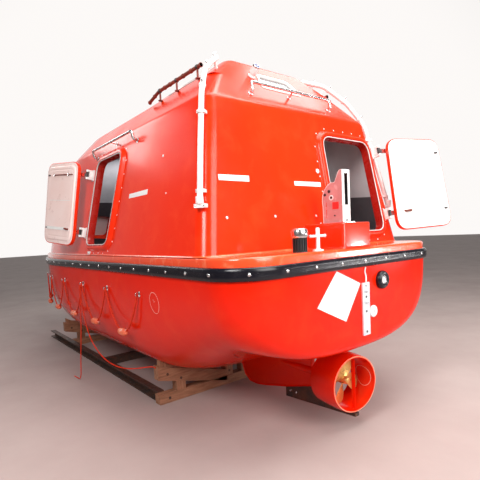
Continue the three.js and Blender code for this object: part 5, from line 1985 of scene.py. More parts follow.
@dataclass
class Hooks:
    """The two lifting hooks: cheek plates with bolts and a release lever, each on its pedestal."""

    aft_x: float = -3.277
    fore_x: float = 3.14
    half: float = 0.05
    slot: float = 0.017
    eased: float = 0.004
    heads: tuple[Triple, ...] = (
        (0.034, 0.269, 0.013), (0.080, 0.244, 0.012), (-0.020, 0.064, 0.007), (0.013, 0.215, 0.012))

    def plate(self, points: Array, low: float, high: float, inset: float, finish: int) -> list[Patch]:
        """One upright plate between two distances from the middle plane, port positive."""
        outline = rounded(grown(points, -inset), self.eased, 3)
        return placed(slab(outline, -high, -low, min(0.0015, (high - low) / 3), finish), UPRIGHT)

    def hook(self, name: str, x: float, degrees: float) -> None:
        """Builds one hook: two pale plates with dark inner faces, film, bolts and a label on the port one.

        Args:
            name: The piece's name.
            x: Where along the boat.
            degrees: How far it is turned round.
        """
        h, slot = self.half, self.slot
        across = slot + 0.0052
        patches = []
        for points, low, high, inset, finish in (
                (HOOK_OUTLINE, slot, h, 0, 1), (HOOK_OUTLINE, -h, -slot, 0, 1),
                (HOOK_OUTLINE, slot - 0.001, slot + 0.005, -0.0003, 2),
                (HOOK_OUTLINE, -slot - 0.005, 0.001 - slot, -0.0003, 2),
                (HOOK_FOOT, -across, across, -0.0006, 1), (HOOK_CAP, -across, across, -0.0006, 1),
                (HOOK_OUTLINE, h - 0.001, h + 0.0007, 0.005, 0)):
            patches += self.plate(points, low, high, inset, finish)
        for px, pz, r in self.heads:
            for side in (-1, 1):
                head = basis([px, side * h, pz], [0, side, 0])
                patches += placed(slab(circle(r, 24), -0.002, 0.0045, 0.001, 2), head)
        ring = revolved([[0.013, 0.0], [0.022, 0.0], [0.022, 0.0018], [0.013, 0.0018]], 32, 1, True)
        patches += placed(ring, basis([0.013, h, 0.215], [0, 1, 0]))
        label = basis([-0.029, h, 0.147], [0, 1, 0])
        patches += placed(block(0.065, 0.058, 0, 0, 0.004, 0, 0.0014, 0.0004, 4), label)
        strip = basis([0.067, h, 0.1125], [0, 1, 0])
        patches += placed(block(0.006, 0.135, 0, 0, 0.002, 0, 0.0013, 0.0003, 3), strip)
        patches += placed(block(0.022, 0.030, 0.104, 0.205, 0.005, -0.020, 0.020, 0.002, 3), UPRIGHT)
        patches += placed(dome_bolt(0.010, 0.006, 2), basis([-0.102, 0, 0.022], [-1, 0, 0]))
        place = shift(x, 0, HOOK_BASE) @ turn(degrees)
        piece(name, placed(patches, place), [FILM, WHITE, BLACK, STEEL, RED_LABEL],
              replaces=("aft_hook",) if degrees == 0 else ("fore_hook",), crease=35,
              weighted=True)

    def pedestal(self, name: str, node: str, low: tuple[float, float], high: tuple[float, float],
                 hook_x: float) -> None:
        """A moulded box with eased edges and a cove at its foot, with the hook's base plate on it.

        Args:
            name: The piece's name.
            node: The frame's node.
            low: Its aft starboard corner.
            high: Its fore port corner.
            hook_x: Where its hook is.
        """
        outline = rounded([[low[0], low[1]], [high[0], low[1]], [high[0], high[1]], [low[0], high[1]]], 0.028)
        foot = [(-0.010, 1.5402), (-0.0045, 1.5425), (-0.001, 1.5475), (0, 1.555)]
        patches = stack(grown(outline, -0.0005), [*foot, *rolled(0.012, HOOK_BASE, 5)])
        patches += block(0.27, 0.17, hook_x, 0, 0.02, HOOK_BASE - 0.001, HOOK_BASE + 0.005, 0.0015, 1)
        spots = [shift(hook_x + dx, dy, HOOK_BASE + 0.005) for dx in (-0.118, 0.118) for dy in (-0.07, 0.07)]
        patches += copies(slab(circle(0.009, 6), 0, 0.007, 0.001, 1), spots)
        piece(name, patches, [GLOSS_GELCOAT, STEEL], replaces=(node,), crease=40)

    def build(self) -> None:
        """Builds both hooks and their pedestals."""
        self.hook("hook_aft", self.aft_x, 0)
        self.hook("hook_fore", self.fore_x, 180)
        self.pedestal("pedestal_aft", "aft_pedestal", (-3.482, -0.18), (-3.06, 0.18), self.aft_x)
        self.pedestal("pedestal_fore", "fore_pedestal", (3.0, -0.1), (3.28, 0.1), self.fore_x)


@dataclass
class DeckFittings:
    """The cross bollard and the vent on the port quarter of the deck."""

    bollard_at: Span = (-3.44, 0.44)
    vent_at: Span = (-3.405, 0.6)
    ribs: int = 18

    def bollard(self) -> None:
        """A post with a bolted foot and a cross bar with rounded ends."""
        patches = revolved([[0.042, 0], [0.042, 0.007], [0.040, 0.010], [0.022, 0.011], [0.017, 0.016],
                            [0.015, 0.024], [0.015, 0.166], [0.013, 0.172], [0.007, 0.175],
                            [0.001, 0.1752]], 32)
        bar = np.array([[0, y, 0.112] for y in (-0.092, -0.088, -0.082, -0.074, 0.074, 0.082, 0.088, 0.092)])
        patches += tube(bar, np.array([0.004, 0.010, 0.013, 0.010, 0.010, 0.013, 0.010, 0.004]), 20)
        patches += bolts(0.006, 0.004, [(*spot, 0.010) for spot in circle(0.031, 4)], 1)
        piece("cross_bollard", placed(patches, shift(*self.bollard_at, CANOPY.deck_top)), [WHITE_PIPE, STEEL],
              replaces=("bollard",), crease=35)

    def vent(self) -> None:
        """A dark slotted body between its flange and a chromed cap."""
        body = revolved([[0.056, 0], [0.056, 0.006], [0.046, 0.008], [0.046, 0.112], [0.04, 0.114]], 40, 1)
        cap = revolved([[0.05, 0.104], [0.057, 0.106], [0.0605, 0.113], [0.062, 0.12], [0.062, 0.156],
                        [0.058, 0.166], [0.048, 0.174], [0.025, 0.1775], [0.001, 0.178]], 40)
        rib = block(0.012, 0.006, 0.049, 0, 0.001, 0.006, 0.108, 0, 1)
        patches = body + cap + copies(rib, [turn(k * 360 / self.ribs) for k in range(self.ribs)])
        piece("chrome_vent", placed(patches, shift(*self.vent_at, CANOPY.deck_top)), [STEEL, BLACK],
              replaces=("vent",), crease=35)

    def build(self) -> None:
        """Builds the deck's fittings."""
        self.bollard()
        self.vent()


@dataclass
class TransomFittings:
    """The exhaust outlet, the steel strip with its tie, the white disc and the blank sheet on the transom."""

    face: float = HULL.transom
    outlet_at: Span = (-0.283, 1.248)
    disc_at: Span = (-0.154, 0.995)
    strip_across: float = 0.0525
    strip_holes: tuple[float, ...] = (0.84, 1.01, 1.13, 1.225)
    strip_nuts: Span = (1.09, 1.18)

    def outlet(self) -> None:
        """A rubber ring with a polished pipe end inside it, closed by a white cap that is a painted highlight
        of the pipe's shine.
        """
        ring = revolved([[0.036, 0.001], [0.077, 0.001], [0.077, 0.024], [0.0755, 0.029], [0.072, 0.034],
                         [0.065, 0.041], [0.062, 0.042], [0.050, 0.042], [0.047, 0.041], [0.040, 0.034],
                         [0.0365, 0.028]], 56, 0, True)
        pipe = revolved([[0.026, 0.002], [0.0362, 0.002], [0.0362, 0.032], [0.0345, 0.034], [0.029, 0.034],
                         [0.026, 0.031]], 48, 1, True)
        # A white cap inside the pipe: a painted highlight of the pipe's shine.
        shine_cap = slab(circle(0.028, 48), 0.001, 0.030, 0.002, 2)
        patches = placed(ring + pipe + shine_cap, basis([self.face, *self.outlet_at], [-1, 0, 0]))
        piece("exhaust_ring", patches, [RUBBER, STEEL, WHITE], replaces=("exhaust_outlet",),
              crease=40)

    def strip(self) -> None:
        """A flat steel strip with holes, its two bolts with nuts, and the twisted tie that it hangs by."""
        patches = block(0.094, 0.438, self.strip_across, 1.03, 0.008, 0.0005, 0.012, 0.0015)
        for up in self.strip_holes:
            patches += slab(circle(0.010, 20, self.strip_across, up), 0.0115, 0.0124, 0, 1)
        for up in self.strip_nuts:
            patches += slab(circle(0.022, 24, self.strip_across, up), 0.012, 0.0145, 0.0006)
            patches += slab(circle(0.0165, 6, self.strip_across, up), 0.0145, 0.026, 0.0015)
            patches += rod([self.strip_across, up, 0.02], [self.strip_across, up, 0.039], 0.0085, 16)
        patches = placed(patches, TRANSOM)
        y = -self.strip_across
        tie = smooth_path([[self.face - 0.010, y, 1.225], [self.face - 0.016, y + 0.006, 1.26],
                           [self.face - 0.009, y - 0.004, 1.30], [self.face - 0.006, y + 0.004, 1.34],
                           [self.face - 0.010, y, 1.376]], 0.003)
        patches += tube(tie, 0.006, 10, 2, lobes=2, lay=0.03)
        piece("steel_strip", patches, [GALVANISED, BLACK, WHITE], replaces=("transom_strip",),
              crease=35)

    def disc(self) -> None:
        """A white disc with a rounded edge and a countersunk screw."""
        patches = revolved([[0.05, 0.0005], [0.05, 0.009], [0.047, 0.0135], [0.043, 0.014], [0.012, 0.014],
                            [0.010, 0.0125], [0.001, 0.0125]], 48)
        patches += slab(circle(0.008, 20), 0.012, 0.0134, 0.0004, 1)
        piece("white_disc", placed(patches, basis([self.face, *self.disc_at], [-1, 0, 0])), [WHITE, STEEL],
              replaces=("zinc_disc",), crease=35)

    def sheet(self) -> None:
        """A thin blank sheet, slightly curled at its lower corners, held by two strips of tape."""
        corners = np.array([[-0.306, 1.374], [-0.544, 1.122], [-0.209, 0.966], [-0.010, 1.248]])
        u, v = np.meshgrid(np.linspace(0, 1, 17), np.linspace(0, 1, 17), indexing="ij")
        flat = ((1 - u) * (1 - v))[..., None] * corners[0] + (u * (1 - v))[..., None] * corners[1] \
            + (u * v)[..., None] * corners[2] + ((1 - u) * v)[..., None] * corners[3]
        lift = 0.0012 + 0.0024 * (u * (1 - v)) ** 3 + 0.0018 * (u * v) ** 4
        front = np.concatenate([flat, lift[..., None]], -1)
        back = front - [0, 0, 0.0005]
        patches = placed([grid(front), grid(back)], TRANSOM)
        edge = [np.stack([front[k], back[k]]) for k in (0, -1)] + \
            [np.stack([front[:, k], back[:, k]]) for k in (0, -1)]
        patches += placed([grid(rows) for rows in edge], TRANSOM)
        piece("blank_sheet_card", patches, [WHITE], replaces=("blank_sheet",))

    def build(self) -> None:
        """Builds the transom's fittings."""
        self.outlet()
        self.strip()
        self.disc()
        self.sheet()


# Rails, spray pipes and lamp


@dataclass
class Rails:
    """The grab rails on the side walls and the one across the dome's aft slope."""

    bar: float = 0.013
    stay: float = 0.009
    drop: float = 0.07

    def rail(self, name: str, wall: Array, start: float, end: float, up: float, out: float,
             stay: float) -> None:
        """A bent bar with a round foot plate at each end and a stay between them.

        Args:
            name: The frame's node.
            wall: Frame of its wall.
            start: Across of one end.
            end: Across of the other.
            up: How far up the bar is.
            out: How far out it is.
            stay: Across of the stay.
        """
        foot = up - self.drop
        ends = [[start, foot, 0.002], [start, foot, out * 0.6], [start, up, out],
                [end, up, out], [end, foot, out * 0.6], [end, foot, 0.002]]
        patches = tube(bent(ends, 0.024), self.bar, 16)
        patches += rod([stay, up, out], [stay, up, 0.001], self.stay, 14)
        for x, y, r in ((start, foot, 0.026), (end, foot, 0.026), (stay, up, 0.020)):
            patches += slab(circle(r, 28, x, y), -0.002, 0.004, 0.0015)
            patches += bolts(0.0035, 0.0018, [(x + dx * r * 0.7, y, 0.004) for dx in (-1, 1)])
        piece(name + "_bar", placed(patches, wall), [STEEL], replaces=(name,), crease=35)

    def build(self) -> None:
        """Builds the three rails."""
        for label, side in SIDES.items():
            start, end = forward(side, -1.76), forward(side, -0.70)
            self.rail(f"rail_{label}", side_wall(side), start, end, 1.16, 0.075, (start + end) / 2)
        self.rail("rail_cupola", UPPER_AFT_WALL, -0.5, 0.5, 0.19, 0.07, 0.0)


@dataclass
class SprayPipes:
    """The water spray pipes: a riser up each aft corner and a pipe with nozzles along each roof shoulder."""

    corner_turn: float = math.radians(55)
    riser: float = 0.022
    riser_off: float = 0.046
    clamps: Span = (2.62, 2.02)
    roof: float = 0.016
    roof_height: float = 3.12
    stands: Triple = (-2.5, -2.15, -1.83)
    tees: tuple[float, ...] = (-2.40, -2.27, -2.03, -1.93, -1.72)
    roof_ends: Span = (-2.56, -1.60)

    def corner(self, side: int, z: float, out: float) -> Array:
        """A point at the canopy's aft corner, a distance out from its face.

        Args:
            side: 1 for port, -1 for starboard.
            z: Height.
            out: Distance from the face.

        Returns:
            The point.
        """
        reach = CANOPY.corner + out
        return np.array([CANOPY.aft(z) + CANOPY.corner - reach * math.cos(self.corner_turn),
                         side * (CANOPY.half(z) - CANOPY.corner + reach * math.sin(self.corner_turn)), z])

    def riser_pipe(self, label: str, side: int) -> None:
        """A white pipe with a bolted foot, a clamp, unions at its bends and two small nozzles.

        Args:
            label: The side's name.
            side: 1 for port, -1 for starboard.
        """
        points = np.array([
            *(self.corner(side, z, self.riser_off) for z in (1.915, 2.3, 2.79)),
            [-2.74, side * 0.9, 3.01], [-2.61, side * 0.69, 3.19], [-2.42, side * 0.56, 3.27]])
        patches = tube(bent(points, 0.06), self.riser, 24)
        out = [-math.cos(self.corner_turn), side * math.sin(self.corner_turn), 0]
        foot = basis(self.corner(side, 1.911, 0.022), out)
        patches += placed(block(0.084, 0.030, 0, 0, 0.006, -0.03, 0.036, 0.003)
                          + bolts(0.007, 0.004, [(x, 0, 0.036) for x in (-0.03, 0.03)], 1), foot)
        lower = points[0] + [0, 0, 0.012]
        patches += rod(lower, lower + [0, 0, 0.05], self.riser + 0.007, 24)
        for z in self.clamps:
            clamp = basis(self.corner(side, z, 0.02), out)
            patches += placed(block(0.066, 0.026, 0, 0, 0.004, -0.022, 0.03, 0.002)
                              + bolts(0.005, 0.003, [(x, 0, 0.03) for x in (-0.026, 0.026)], 1), clamp)
            middle = self.corner(side, z, self.riser_off)
            patches += rod(middle - [0, 0, 0.013], middle + [0, 0, 0.013], self.riser + 0.005, 24)
        for a, b, share in ((2, 3, 0.22), (3, 4, 0.15), (3, 4, 0.8), (4, 5, 0.5)):
            way = unit(points[b] - points[a])
            at = points[a] + (points[b] - points[a]) * share
            patches += rod(at - way * 0.014, at + way * 0.014, self.riser + 0.006, 24)
            tip = at + np.array([-0.02, side * 0.012, 0.03])
            patches += rod(at, tip, 0.007, 12, 1)
            patches += rod(tip, tip + [-0.008, side * 0.004, 0.003], 0.010, 12, 1)
        patches += rod([-2.595, side * 0.69, 3.15], [-2.565, side * 0.648, 3.075], 0.014, 16)
        piece(f"riser_{label}", patches, [WHITE_PIPE, STEEL], replaces=(f"spray_riser_{label}",),
              crease=35)

    def roof_run(self, label: str, side: int) -> None:
        """A rusty pipe on stands with clamps, tees and nozzles along it, turned down at its fore end.

        Args:
            label: The side's name.
            side: 1 for port, -1 for starboard.
        """
        y, high = side * 0.81, self.roof_height
        points = np.array([[-2.56, y, high], [-1.81, y, high], [-1.60, y, high - 0.052]])
        path = bent(points, 0.04, 5)
        patches = tube(path, self.roof, 20)
        for x in self.stands:
            floor = CANOPY.roof - (abs(y) - CANOPY.roof_half) * 0.7
            patches += rod([x, y, high], [x, y, floor], 0.009, 14)
            patches += rod([x, y, floor + 0.004], [x, y, floor + 0.012], 0.022, 20)
            patches += rod([x - 0.011, y, high], [x + 0.011, y, high], self.roof + 0.005, 20, 1)
        for x in self.tees:
            z = float(np.interp(x, path[:, 0], path[:, 2]))
            patches += rod([x - 0.009, y, z], [x + 0.009, y, z], self.roof + 0.004, 20)
            patches += rod([x, y, z], [x, y + side * 0.014, z + 0.012], 0.007, 12, 1)
        for x in self.roof_ends:
            z = float(np.interp(x, path[:, 0], path[:, 2]))
            patches += rod([x, y, z], [x + (0.012 if x < -2 else -0.012), y, z], self.roof + 0.004, 20)
        piece(f"roof_run_{label}", patches, [RED_PIPE, BLACK], replaces=(f"roof_pipe_{label}",),
              crease=35)

    def build(self) -> None:
        """Builds the pipes of both sides."""
        for label, side in SIDES.items():
            self.riser_pipe(label, side)
            self.roof_run(label, side)


@dataclass
class Lamp:
    """The lamp on the dome's aft slope: a white housing on a foot, with a blue lens in a chromed rim."""

    across: float = -0.32
    up: float = 0.42

    def build(self) -> None:
        """Builds the lamp."""
        patches = revolved([[0.030, 0.001], [0.034, 0.003], [0.034, 0.012], [0.026, 0.016], [0.026, 0.03],
                            [0.033, 0.036], [0.034, 0.05], [0.034, 0.092], [0.03, 0.096]], 40)
        patches += revolved([[0.024, 0.094], [0.034, 0.094], [0.034, 0.106], [0.031, 0.110], [0.027, 0.110],
                             [0.024, 0.104]], 40, 1, True)
        patches += revolved([[0.026, 0.09], [0.026, 0.103], [0.018, 0.108], [0.008, 0.1115],
                             [0.001, 0.112]], 40, 2)
        place = UPPER_AFT_WALL @ shift(self.across, self.up, 0)
        piece("dome_lamp", placed(patches, place), [WHITE, STEEL, BLUE], replaces=("lamp",),
              crease=40)


# Ropes


@dataclass
class Lifelines:
    """Rope loops along the hull through eyes, each loop with a float."""

    eyes: tuple[float, ...] = (-2.05, -1.27, -0.5, 0.25, 1.0, 1.72, 2.38)
    eye_z: float = 1.2
    sag: float = 0.8
    rope: float = 0.008
    off: float = 0.024
    float_radius: float = 0.036
    float_half: float = 0.095

    def hang(self, x: float, z: float) -> Array:
        """A point of the line beside the hull's side at the eyes."""
        return np.array([x, float(HULL.side(x, self.eye_z)) + self.off, z])

    def bight(self, a: float, b: float) -> list[Patch]:
        """One loop: a parabola from eye to eye, as laid rope.

        Args:
            a: Where its first eye is.
            b: Where its second is.

        Returns:
            The patches.
        """
        drop = self.eye_z - self.sag
        points = [self.hang(a + (b - a) * s, self.sag + drop * (2 * s - 1) ** 2)
                  for s in np.linspace(0, 1, 25)]
        return tube(smooth_path(points, 0.011), self.rope, 9, 0, lobes=3, lay=0.055)

    def buoy(self, a: float, b: float) -> list[Patch]:
        """A float: an egg of foam with two grooves round it, turned along the side.

        Args:
            a: Where the loop's first eye is.
            b: Where its second is.

        Returns:
            The patches.
        """
        t = np.linspace(-1, 1, 33)
        reach = self.float_radius * np.sqrt(np.maximum(1 - np.abs(t) ** 2.6, 0.002))
        reach -= 0.0022 * (np.exp(-((t - 0.55) / 0.05) ** 2) + np.exp(-((t + 0.55) / 0.05) ** 2))
        middle = self.hang((a + b) / 2, self.sag)
        way = unit(self.hang(b, self.sag) - self.hang(a, self.sag))
        return tube(middle + t[:, None] * self.float_half * way, reach, 24, 1)

    def eye(self, x: float) -> list[Patch]:
        """A plate on the side with two white bolts and a staple that the rope passes through.

        Args:
            x: Where along the boat.

        Returns:
            The patches.
        """
        y = float(HULL.side(x, self.eye_z))
        slope = float(HULL.side(x + 0.01, self.eye_z)) - float(HULL.side(x - 0.01, self.eye_z))
        wall = basis([x, y, self.eye_z], [-slope / 0.02, 1, 0.04])
        staple = bent([[0, 0.012, 0.004], [0, 0.012, 0.040], [0, -0.012, 0.040], [0, -0.012, 0.004]], 0.011)
        patches = block(0.034, 0.046, 0, 0.001, 0.007, -0.01, 0.005, 0.0015, 2) + tube(staple, 0.0045, 12, 2)
        return placed(patches + bolts(0.0055, 0.003, [(0, up, 0.005) for up in (-0.0185, 0.0195)], 3), wall)

    def side(self, label: str, side: int) -> None:
        """Builds one side's line.

        Args:
            label: The side's name.
            side: 1 for port, -1 for starboard.
        """
        patches = []
        for a, b in zip(self.eyes[:-1], self.eyes[1:]):
            patches += self.bight(a, b) + self.buoy(a, b)
        for x in self.eyes:
            patches += self.eye(x)
        mirror = np.diag([1.0, side, 1.0, 1.0])
        piece(f"lifeline_loops_{label}", placed(patches, mirror), [ROPE, FLOAT, STEEL, WHITE],
              replaces=(f"lifeline_{label}",), crease=50)

    def build(self) -> None:
        """Builds both sides."""
        for label, side in SIDES.items():
            self.side(label, side)


@dataclass
class LooseRopes:
    """Two rope tails from the third eye: one hangs to the floor, one sags to the cradle's end."""

    rope: float = 0.006
    tails: tuple = (
        ("tail_floor", "loose_rope_floor", "bare", "hanging",
         [[-488, 1313, 1177.6], [-488, 1313, 1120], [-488, 1315, 1040], [-488, 1319, 930], [-484, 1324, 800],
          [-476, 1330, 660], [-455, 1335, 520], [-432, 1340, 380], [-412, 1344, 250], [-396, 1346, 140],
          [-378, 1348, 60], [-345, 1350, 20], [-290, 1353, 8], [-225, 1357, 6.5], [-160, 1362, 6.5]]),
        ("tail_cradle", "loose_rope_cradle", "object", "hanging",
         [[-512, 1313, 1177.6], [-513, 1313, 1120], [-523, 1313, 1010], [-556, 1311, 860], [-626, 1308, 690],
          [-740, 1298, 545], [-900, 1282, 440], [-1080, 1258, 375], [-1260, 1222, 345], [-1430, 1174, 348],
          [-1560, 1112, 366], [-1640, 1052, 382], [-1700, 1016, 388], [-1740, 1009.6, 386]]),
    )

    def build(self) -> None:
        """Builds the tails."""
        for name, node, far_end, lay, points in self.tails:
            path = smooth_path(np.array(points) / 1000, 0.006)
            made = piece(name, tube(path, self.rope, 12, 0, lobes=3, lay=0.042), [ROPE], replaces=(node,),
                         crease=50)


# Marks on the outside


@dataclass
class Markings:
    """Strips of white tape, small studs and chalk rings.

    Attributes:
        strips: Name, wall, across, up, width and height of each strip of tape.
        uneven: How far each corner of a strip is from a true rectangle's.
        spots: Wall, across, up and radius of each stud.
        ring: Where the chalk ring on the side is, forward and up, and its half sizes.
    """

    strips: tuple = (("tape_aft_port", AFT_WALL, -0.868, 0.561, 0.30, 0.046),
                     ("tape_aft_middle", AFT_WALL, -0.046, 0.544, 0.345, 0.040),
                     ("tape_side", side_wall(1), 1.90, 0.55, 0.40, 0.045))
    uneven: tuple = ((0.002, 0.001), (-0.003, 0), (0.001, 0.002), (0.003, -0.001))
    spots: tuple = ((AFT_WALL, -0.994, 0.254, 0.011), (AFT_WALL, -0.502, 0.258, 0.011),
                    (AFT_WALL, -0.006, 0.256, 0.011), (AFT_WALL, 0.115, 0.67, 0.022),
                    (side_wall(1), 2.327, 0.835, 0.012), (side_wall(1), 2.45, 0.50, 0.008),
                    (side_wall(-1), -2.327, 0.835, 0.012))
    ring: tuple[float, float, float, float] = (-2.32, 1.147, 0.078, 0.093)

    def tapes(self) -> None:
        """Three strips of tape, each with slightly uneven ends."""
        for name, wall, x, y, width, height in self.strips:
            outline = rectangle(width, height, x, y) + np.array(self.uneven)
            piece(name, placed(slab(rounded(outline, 0.003, 3), -0.0002, 0.0009), wall), [WHITE])

    def studs(self) -> None:
        """White studs and plugs on the aft and side walls."""
        patches = []
        for wall, x, y, r in self.spots:
            patches += placed(dome_bolt(r, r * 0.35), wall @ shift(x, y, 0))
        foot = side_wall(1) @ shift(0.758, -0.006, 0)
        patches += placed(block(0.056, 0.034, 0, 0, 0.008, -0.001, 0.013, 0.003)
                          + rod([-0.012, 0.004, 0.006], [-0.012, 0.004, 0.022], 0.008, 14), foot)
        piece("wall_studs", patches, [WHITE])

    def chalk(self) -> None:
        """A hand-drawn ring on the hull's side, as a thin raised line that follows the surface."""
        a = angles(96)
        wobble = 1 + 0.03 * np.sin(2 * a + 0.6) + 0.02 * np.sin(3 * a)
        x = self.ring[0] + self.ring[2] * wobble * np.cos(a)
        z = self.ring[1] + self.ring[3] * wobble * np.sin(a)
        rings = []
        for out, by in ((-0.0006, -0.0022), (0.0005, -0.0012), (0.0005, 0.0012), (-0.0006, 0.0022)):
            px, pz = x + by * np.cos(a), z + by * np.sin(a)
            rings.append(np.stack([px, HULL.side(px, pz) + out, pz], -1))
        patches = [grid(np.stack(rings), round_u=True, round_v=True)]
        tick = smooth_path([[-2.335, 0, 1.165], [-2.322, 0, 1.152], [-2.302, 0, 1.178]], 0.004)
        tick[:, 1] = HULL.side(tick[:, 0], tick[:, 2]) + 0.0001
        piece("chalk_ring", patches + tube(tick, 0.0008, 6), [CHALK])

    def build(self) -> None:
        """Builds the marks."""
        self.tapes()
        self.studs()
        self.chalk()


# Inside the cabin


@dataclass
class Cabin:
    """The benches with their seat pads, and the engine's box with its lid."""

    bench_top: float = 1.005
    bench_low: float = 0.612
    bench_front: float = 0.622
    pad_count: int = 4
    first_pad: float = -1.24
    pad_step: float = 0.74
    pad_length: float = 0.70
    pad_width: float = 0.36
    pad_thick: float = 0.055
    pad_across: float = 0.83

    def bench(self, label: str, side: int) -> None:
        """A bench cut off along the hull's side, with a rolled front edge.

        Args:
            label: The side's name.
            side: 1 for port, -1 for starboard.
        """
        x = np.linspace(-1.65, 1.35, 61)
        top, low, front = self.bench_top, self.bench_low, self.bench_front
        sections = []
        for place in x:
            outer = min(1.18, float(HULL.half(place)) - 0.075)
            below = min(outer, float(HULL.side(place, low)) - 0.085)
            row = [[front, low], [front, top - 0.02], [front + 0.004, top - 0.008], [front + 0.016, top],
                   [outer - 0.012, top], [min(outer, float(HULL.side(place, 0.8)) - 0.08), 0.8], [below, low]]
            sections.append([[place, y * side, z] for y, z in row])
        piece(f"bench_{label}_moulding", loft(np.array(sections)), [LINER], replaces=(f"bench_{label}",),
              crease=40)

    def pads(self, label: str, side: int) -> None:
        """Four seat pads in a row: crowned, pulled in at the edges, each with a channel across its middle.

        Args:
            label: The side's name.
            side: 1 for port, -1 for starboard.
        """
        patches = []
        foot = self.bench_top + 0.0005
        u, v = np.meshgrid(np.linspace(-1, 1, 29), np.linspace(-1, 1, 21), indexing="ij")
        fall = np.clip((1 - np.abs(u) ** 8) * (1 - np.abs(v) ** 6), 0, 1) ** 0.5
        pull = 1 - 0.02 * (1 - np.abs(v) ** 2) * np.abs(u) ** 3
        pull_in = 1 - 0.03 * (1 - np.abs(u) ** 2) * np.abs(v) ** 3
        bulge = self.pad_thick * (0.82 + 0.18 * np.cos(u * 1.3) * np.cos(v * 1.3))
        crown = foot + 0.003 + fall * (bulge - 0.006 * np.exp(-(u / 0.035) ** 2))
        for number in range(self.pad_count):
            px = self.first_pad + number * self.pad_step + u * self.pad_length / 2 * pull
            py = side * (self.pad_across + v * self.pad_width / 2 * pull_in)
            faces = [np.stack([px, py, height], -1) for height in (crown, np.full_like(px, foot))]
            rims = [np.vstack([f[:-1, 0], f[-1, :-1], f[:0:-1, -1], f[0, :0:-1]]) for f in faces]
            patches += [*map(grid, faces), grid(np.stack(rims), round_v=True)]
        made = piece(f"seat_pads_{label}", patches, [PAD], crease=70)

    def engine(self) -> None:
        """The engine's box: eased edges and a lid with a lip."""
        box = rounded([[-2.645, -0.285], [-1.805, -0.285], [-1.805, 0.285], [-2.645, 0.285]], 0.04)
        patches = stack(box, [(0, 0.585), (0, 1.06), (0, 1.065)])
        patches += stack(box, [(0.004, 1.066), (-0.003, 1.07), (-0.003, 1.12), (0.004, 1.132), (0.012, 1.138),
                               (0.04, 1.138)])
        piece("engine_box", patches, [LINER], replaces=("engine_block",), crease=40)

    def build(self) -> None:
        """Builds the benches and the engine's box."""
        for label, side in SIDES.items():
            self.bench(label, side)
            self.pads(label, side)
        self.engine()


# Cradle


